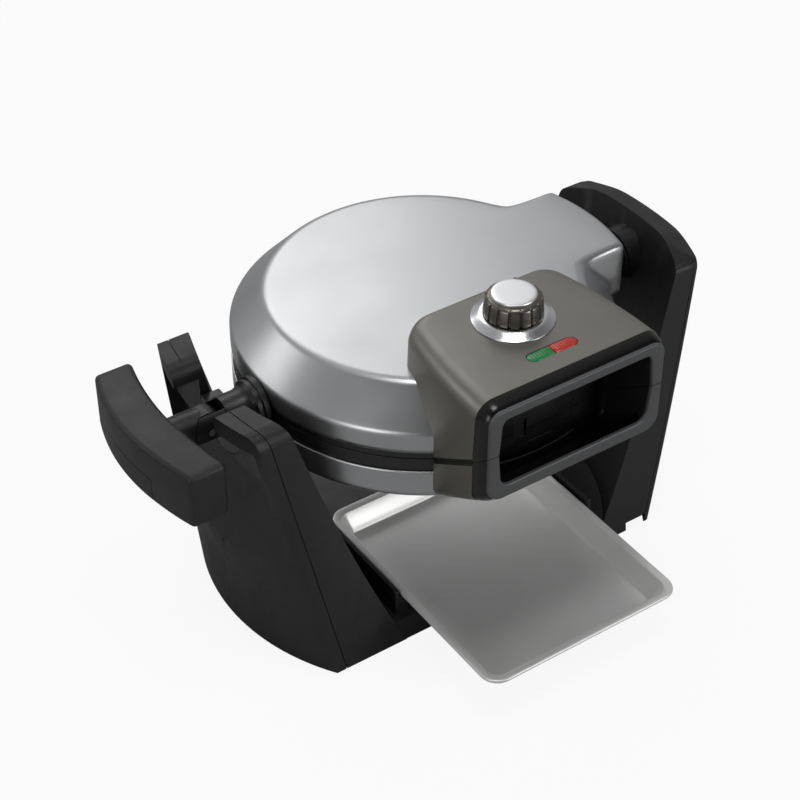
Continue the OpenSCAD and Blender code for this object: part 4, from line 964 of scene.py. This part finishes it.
# The lining: its back's radius and rounding, its wall, how its floor falls, and how far outside the opening
WELL_R, WELL_SOFT, WELL_WALL, WELL_FALL, WELL_OUT = 121.5, 6.0, 1.6, 0.6, 0.4
# Where the search for a point on the back starts
BACK_GUESS = 118.0
# The latch windows, the room round each hook, and how far the windows' cutter reaches to the front and rear
LATCH_X, LATCH_HALF, LATCH_LOW, LATCH_TOP, LATCH_GAP = 17.0, 4.5, 164.5, 179.5, 0.2
LATCH_FRONT, LATCH_BACK = 4.0, 6.0
# How far behind the lining's face a hook starts and ends, and how far above its window's floor
HOOK_FRONT, HOOK_BACK, HOOK_UP = 0.8, 1.9, 0.5


def well_point(j, inset, y, depth_at):
    """Point j of the lining's outline. Its depth follows from its x by depth_at, and its x a little from its
    depth, so both are found in a few rounds."""
    def outline():
        return opening_outline(inset - WELL_OUT, OPENING_LOW - WELL_FALL * (REACH - y))

    for _ in range(4):
        y = depth_at(outline()[j][0])
    x, z = outline()[j]
    return x, -y, z


def grip_well():
    """Lining of the finger opening: its floor falls to the rear and its back follows the body."""
    def wall_end(x):
        return sqrt(WELL_R ** 2 - x * x)

    points = range(len(opening_outline()))
    rows = [[well_point(j, 0.0, FACE_Y, lambda x: FACE_Y + (wall_end(x) + WELL_SOFT - FACE_Y) * k / 8)
             for j in points] for k in range(9)]
    rows += [[well_point(j, WELL_SOFT * (1 - c), BACK_GUESS, lambda x: wall_end(x) + WELL_SOFT * (1 - s))
              for j in points] for s, c in quarter(6)[1:]]
    last = rows[-1]
    middle = sum(z for _, _, z in last) / len(last)
    rows += [[(x * share, -wall_end(x * share), middle + (z - middle) * share) for x, _, z in last]
             for share in (0.85, 0.65, 0.45, 0.25, 0.06)]
    well = apply_modifiers(walled(skin("grip_well", rows, (False, True), 40), WELL_WALL, 1.0))
    windows = [box_piece("latch_window", (x - LATCH_HALF, -WELL_R - LATCH_FRONT, LATCH_LOW),
                         (x + LATCH_HALF, -WELL_R + LATCH_BACK, LATCH_TOP)) for x in (-LATCH_X, LATCH_X)]
    return shaped(well, "DIFFERENCE", *windows)


def latch(name, x):
    """Hook of the lid's latch, set back in its window in the lining."""
    y = -sqrt(WELL_R ** 2 - x ** 2)
    half = LATCH_HALF - LATCH_GAP
    block = box_piece(name, (x - half, y + HOOK_FRONT, LATCH_LOW + HOOK_UP),
                      (x + half, y + HOOK_BACK, LATCH_TOP - LATCH_GAP))
    return place(bevelled(block, 0.3), "upper_grip_well")


# How far the stripe is set back from the shells, how near its inner edge comes to the middle, and its gap to
# the body
STRIPE_BACK, STRIPE_IN, STRIPE_GAP = 1.0, 56.2, 0.3


def stripe(name, node, low, high):
    """Dark strip between the two shells, on both sides, from the body to the bezel."""
    vertices, faces = [], []
    ys = [101.3, 102.5, 104.0, 107.0, 112.0, 120.0, 130.0, BEZEL_Y - 0.2]
    for side in (-1, 1):
        start = len(vertices)
        outline = [(half_at(y) - STRIPE_BACK, y) for y in ys]
        outline += [(max(STRIPE_IN, sqrt(max(0.0, (BODY_R + STRIPE_GAP) ** 2 - y * y))), y)
                    for y in ys[::-1]]
        for level in (low, high):
            vertices += [(side * x, -y, part_line(y) + level) for x, y in outline]
        count = len(outline)
        for i in range(len(ys) - 1):
            j = count - 1 - i
            faces.append([start + i, start + i + 1, start + j - 1, start + j])
            faces.append([start + count + j, start + count + j - 1, start + count + i + 1,
                          start + count + i])
        for i in range(count):
            k = (i + 1) % count
            faces.append([start + i, start + k, start + count + k, start + count + i])
    return place(mesh_piece(name, vertices, faces), node)


LAMP = (0.0, -124.5)
LAMP_LONG, LAMP_WIDE, WINDOW_REACH = 34.5, 8.5, (218.0, 230.0)
# The lenses: their play in the window, half the gap between them, their underside, how far their edge lies
# below the housing's top, and its rounding
LENS_FIT, LENS_GAP, LENS_LOW, LENS_SUNK, LENS_SOFT = 0.7, 0.15, 219.2, 0.5, 0.9


def lamp_window():
    """The slot that holds both lenses."""
    straight, r = (LAMP_LONG - LAMP_WIDE) / 2, LAMP_WIDE / 2
    outline = arc((straight, 0), r, -90, 90, 10) + arc((-straight, 0), r, 90, 270, 10)
    return skin("lamp_window", [[(LAMP[0] + x, LAMP[1] + y, z) for x, y in outline] for z in WINDOW_REACH])


def lens(name, side):
    """One end of the lamp window: a clear dome-edged lens."""
    straight, r = (LAMP_LONG - LAMP_WIDE) / 2, (LAMP_WIDE - LENS_FIT) / 2

    def row(inset, z):
        k = r - inset
        points = [(LENS_GAP + inset, -k), (straight / 2, -k)] + arc((straight, 0), k, -90, 90, 12)
        points += [(straight / 2, k), (LENS_GAP + inset, k)]
        return [(LAMP[0] + side * x, LAMP[1] + y, z) for x, y in points]

    edge = HOUSING_TOP - LENS_SUNK
    rows = [row(0.0, LENS_LOW)] + [row(LENS_SOFT * (1 - c), edge + LENS_SOFT * s) for s, c in quarter(5)]
    return skin(name, rows, angle=40)


# Browning knob
KNOB = (0.0, -88.5)
COLLAR_R, COLLAR_H = 24.4, 4.0
KNOB_R, KNOB_H, CAP_R, CAP_SUNK, KNOB_GAP = 17.6, 12.9, 13.2, 0.6, 0.4
KNOB_LOW = HOUSING_TOP + COLLAR_H + KNOB_GAP
# How many flutes, how deep, their width as a share of their spacing, and the heights between which they fade
FLUTES, FLUTE_DEEP, FLUTE_SHARE = 16, 1.3, 0.24
FLUTE_FADE, FLUTE_END = 10.0, 11.5


def flute_tree():
    """Sinks evenly spaced, round-bottomed flutes into a body of revolution; they fade out near its top."""
    tree = bpy.data.node_groups.new("knob_flutes", "GeometryNodeTree")
    for name, kind in (("Geometry", "Geometry"), ("Flutes", "Int"), ("Depth", "Float"), ("Width", "Float"),
                       ("Middle", "Vector"), ("Fade From", "Float"), ("Fade To", "Float"),
                       ("Finish", "Material")):
        tree.interface.new_socket(name, in_out="INPUT", socket_type="NodeSocket" + kind)
    tree.interface.new_socket("Geometry", in_out="OUTPUT", socket_type="NodeSocketGeometry")
    sizes_in = add(tree, "NodeGroupInput")
    where = add(tree, "GeometryNodeInputPosition")
    off = add(tree, "ShaderNodeVectorMath", [(0, where, "Position"), (1, sizes_in, "Middle")],
              operation="SUBTRACT")
    axes = add(tree, "ShaderNodeSeparateXYZ", [("Vector", off, "Vector")])
    # How many flutes round a point lies, and how far from the middle of the nearest one, as a share of
    # half their spacing
    turn = add(tree, "ShaderNodeMath", [(0, axes, "Y"), (1, axes, "X")], operation="ARCTAN2")
    count = add(tree, "ShaderNodeMath", [(0, turn, "Value"), (1, sizes_in, "Flutes")], operation="MULTIPLY")
    pitch = add(tree, "ShaderNodeMath", [(0, count, "Value")], operation="DIVIDE", in1=tau)
    share = add(tree, "ShaderNodeMath", [(0, pitch, "Value")], operation="FRACT")
    swing = add(tree, "ShaderNodeMath", [(0, share, "Value")], operation="MULTIPLY_ADD", in1=2.0, in2=-1.0)
    close = add(tree, "ShaderNodeMath", [(0, swing, "Value")], operation="ABSOLUTE")
    away = add(tree, "ShaderNodeMath", [(1, close, "Value")], operation="SUBTRACT", in0=1.0)
    # The round bottom, and its depth, which fades out over the skirt's bevel
    part = add(tree, "ShaderNodeMath", [(0, away, "Value"), (1, sizes_in, "Width")], operation="DIVIDE")
    square = add(tree, "ShaderNodeMath", [(0, part, "Value"), (1, part, "Value")], operation="MULTIPLY")
    rest = add(tree, "ShaderNodeMath", [(1, square, "Value")], operation="SUBTRACT", in0=1.0, use_clamp=True)
    hollow = add(tree, "ShaderNodeMath", [(0, rest, "Value")], operation="SQRT")
    fade = add(tree, "ShaderNodeMapRange", [("Value", axes, "Z"), ("From Min", sizes_in, "Fade From"),
                                            ("From Max", sizes_in, "Fade To")], To_Min=-1.0, To_Max=0.0)
    faded = add(tree, "ShaderNodeMath", [(0, hollow, "Value"), (1, fade, "Result")], operation="MULTIPLY")
    dip = add(tree, "ShaderNodeMath", [(0, faded, "Value"), (1, sizes_in, "Depth")], operation="MULTIPLY")
    level = add(tree, "ShaderNodeCombineXYZ", [("X", axes, "X"), ("Y", axes, "Y")])
    outward = add(tree, "ShaderNodeVectorMath", [(0, level, "Vector")], operation="NORMALIZE")
    shift = add(tree, "ShaderNodeVectorMath", [(0, outward, "Vector"), ("Scale", dip, "Value")],
                operation="SCALE")
    sunk = add(tree, "GeometryNodeSetPosition", [("Geometry", sizes_in, "Geometry"),
                                                 ("Offset", shift, "Vector")])
    real = add(tree, "GeometryNodeRealizeInstances", [("Geometry", sunk, "Geometry")])
    painted = add(tree, "GeometryNodeSetMaterial", [("Geometry", real, "Geometry"),
                                                    ("Material", sizes_in, "Finish")])
    add(tree, "NodeGroupOutput", [("Geometry", painted, "Geometry")])
    return tree


def knob_skirt():
    """Broad lands parted by flutes, with a bevel above and a step to the cap."""
    profile = [(KNOB_R - 1.2, 0.0), (KNOB_R - 0.2, 0.3), (KNOB_R, 1.0), (KNOB_R - 0.5, 5.0),
               (KNOB_R - 0.9, 9.6), (KNOB_R - 1.4, 10.5), (KNOB_R - 2.3, 11.2), (KNOB_R - 3.0, 11.6),
               (CAP_R + 0.9, 11.7), (CAP_R + 0.7, 12.4), (CAP_R + 0.3, 12.5), (CAP_R - 0.4, 12.4)]
    skirt = lathe("knob_skirt_finished", [(r, KNOB_LOW + z) for r, z in profile], KNOB, FLUTES * 20, 25)
    made = skirt.modifiers.new("flutes", "NODES")
    made.node_group = flute_tree()
    values = {"Flutes": FLUTES, "Depth": FLUTE_DEEP * MM, "Width": FLUTE_SHARE,
              "Middle": [KNOB[0] * MM, KNOB[1] * MM, 0.0], "Fade From": (KNOB_LOW + FLUTE_FADE) * MM,
              "Fade To": (KNOB_LOW + FLUTE_END) * MM, "Finish": finishes["knob_grey"]}
    for item in made.node_group.interface.items_tree:
        if item.in_out == "INPUT" and item.name in values:
            made[item.identifier] = values[item.name]
    return smooth(apply_modifiers(skirt), 25)


def knob_cap():
    """Flat bright cap with a rounded edge."""
    z = KNOB_LOW + KNOB_H - CAP_SUNK
    profile = [(0.05, 0.0), (CAP_R, 0.0), (CAP_R, 0.5), (CAP_R - 0.25, 0.9), (CAP_R - 0.8, 1.15),
               (CAP_R - 1.6, 1.2), (CAP_R - 4, 1.2), (6.0, 1.2), (0.05, 1.2)]
    return lathe("knob_cap_finished", [(r, z + rise) for r, rise in profile], KNOB)


def knob_collar():
    """Bright ring: a low edge, a long slope and a rolled lip round the skirt."""
    profile = [(8.0, 0.0), (COLLAR_R - 0.3, 0.0), (COLLAR_R, 0.3), (COLLAR_R - 0.15, 0.8),
               (COLLAR_R - 0.8, 1.15), (22.0, 2.2), (20.2, 3.3), (19.4, 3.75), (18.6, 3.9), (17.4, 3.9),
               (16.6, 3.4), (8.0, 3.4)]
    return lathe("knob_collar_finished", [(r, HOUSING_TOP + rise) for r, rise in profile], KNOB)


upper = shaped(apply_modifiers(walled(upper_housing(), HOUSING_WALL)), "DIFFERENCE", lamp_window())
stands_for(smooth(upper), "upper_housing")
stands_for(smooth(apply_modifiers(walled(lower_housing(), HOUSING_WALL))), "lower_housing")
both_halves(bezel(), "upper_bezel", "lower_bezel")
both_halves(grip_face(), "upper_grip_face", "lower_grip_face")
both_halves(grip_well(), "upper_grip_well", "lower_grip_well")
latch("latch_left", -LATCH_X)
latch("latch_right", LATCH_X)
stripe("upper_stripe", "upper_grip_well", HALF_PARTING, STRIPE_HALF - HALF_PARTING)
stripe("lower_stripe", "lower_grip_well", HALF_PARTING - STRIPE_HALF, -HALF_PARTING)
stands_for(lens("ready_lens_finished", -1), "ready_lens")
stands_for(lens("power_lens_finished", 1), "power_lens")
stands_for(knob_collar(), "knob_collar")
stands_for(knob_skirt(), "knob_skirt")
stands_for(knob_cap(), "knob_cap")

# Pieces that keep their CAD shape
for edge_mm, members in ((0.5, ("upper_ring", "lower_ring")), (0.6, ("base_bridge", "bottom_pan")),
                         (0.8, ("saddle_bearing", "pivot_bush")),
                         (0.4, ("hinge_bracket", "lid_hinge", "cord_gland", "rubber_feet", "pivot_shaft",
                                "thermostat"))):
    for node in members:
        edged(bare_copy(node), node, edge_mm)
for node in nodes:
    if not nodes[node].hide_render:
        nodes[node].data.materials.clear()
        nodes[node].data.materials.append(finishes[slot_of_node[node]])

# Camera, floor and light
AZIMUTH, ELEVATION, DISTANCE = radians(-34.34), radians(38.87), 1222.9
TARGET = Vector((-17.13, 0.0, 114.43))
LENS = 87.63
back = Vector((sin(AZIMUTH) * cos(ELEVATION), -cos(AZIMUTH) * cos(ELEVATION), sin(ELEVATION)))
camera = linked("camera", bpy.data.cameras.new("camera"))
camera.data.lens = LENS
camera.data.sensor_width = 36.0
camera.data.clip_end = 20.0
camera.location = (TARGET + back * DISTANCE) * MM
camera.rotation_euler = back.to_track_quat("Z", "Y").to_euler()
scene.camera = camera

floor_mesh = bpy.data.meshes.new("floor")
floor_mesh.from_pydata([(-6, -6, 0), (6, -6, 0), (6, 6, 0), (-6, 6, 0)], [], [(0, 1, 2, 3)])
floor_piece = linked("floor", floor_mesh)
# The camera sees the floor nearly white, with the shadow kept; the object sees it grey
floor_finish, tree, shader = material("pale_floor", "#f4f4f4", 0.8)
path = add(tree, "ShaderNodeLightPath")
add(tree, "ShaderNodeMix", [(0, path, "Is Camera Ray")], (MIXED_COLOUR, shader, "Base Color"),
    data_type="RGBA", in6=linear("#adadad"), in7=linear("#fdfdfd"))
share = add(tree, "ShaderNodeMath", [(0, path, "Is Camera Ray")], operation="MULTIPLY", in1=0.9)
glow = add(tree, "ShaderNodeEmission", Strength=1.0)
add(tree, "ShaderNodeMixShader", [(0, share, "Value"), (1, shader, "BSDF"), (2, glow, "Emission")],
    ("Shader", tree.nodes["Material Output"], "Surface"))
floor_mesh.materials.append(floor_finish)

# The studio is darker behind the camera, so the cone of the lid is dark towards the front
world = bpy.data.worlds.new("studio")
scene.world = world
world.use_nodes = True
tree = world.node_tree
sky = tree.nodes["Background"]
sky.inputs["Color"].default_value = (0.86, 0.87, 0.89, 1)
path = add(tree, "ShaderNodeLightPath")
plain = add(tree, "ShaderNodeBackground", Strength=1.0, Color=(1, 1, 1, 1))
way = add(tree, "ShaderNodeTexCoord")
split = add(tree, "ShaderNodeSeparateXYZ", [("Vector", way, "Generated")])
add(tree, "ShaderNodeMapRange", [("Value", split, "Y")], ("Result", sky, "Strength"), From_Min=-0.45,
    From_Max=0.55, To_Min=0.06, To_Max=0.46)
add(tree, "ShaderNodeMixShader", [(0, path, "Is Camera Ray"), (1, sky, "Background"),
                                  (2, plain, "Background")],
    ("Shader", tree.nodes["World Output"], "Surface"))

# Studio lamps, in metres and watts: name, place, what they aim at, width and height, power
for name, location, target, (width, height), power in (
        ("rear_key", (0.38, 1.7, 1.62), (-0.05, 0, 0.2), (1.5, 1.1), 9.5),
        ("overhead", (-0.05, -0.3, 1.9), (0, -0.05, 0.2), (0.7, 0.5), 8.0),
        ("left_rear", (-1.3, 1.2, 0.9), (0, 0, 0.15), (0.6, 0.6), 2.5),
        ("left_front", (-1.6, -0.8, 0.7), (0, 0, 0.1), (0.7, 0.9), 6.0),
        ("right_front", (0.9, -1.8, 0.75), (0, 0, 0.1), (0.9, 0.9), 13.0)):
    light = bpy.data.lights.new(name, "AREA")
    light.shape = "RECTANGLE"
    light.size, light.size_y = width, height
    light.energy = power
    lamp = linked(name, light)
    lamp.location = location
    lamp.rotation_euler = (Vector(location) - Vector(target)).to_track_quat("Z", "Y").to_euler()

scene.view_settings.view_transform = "Standard"
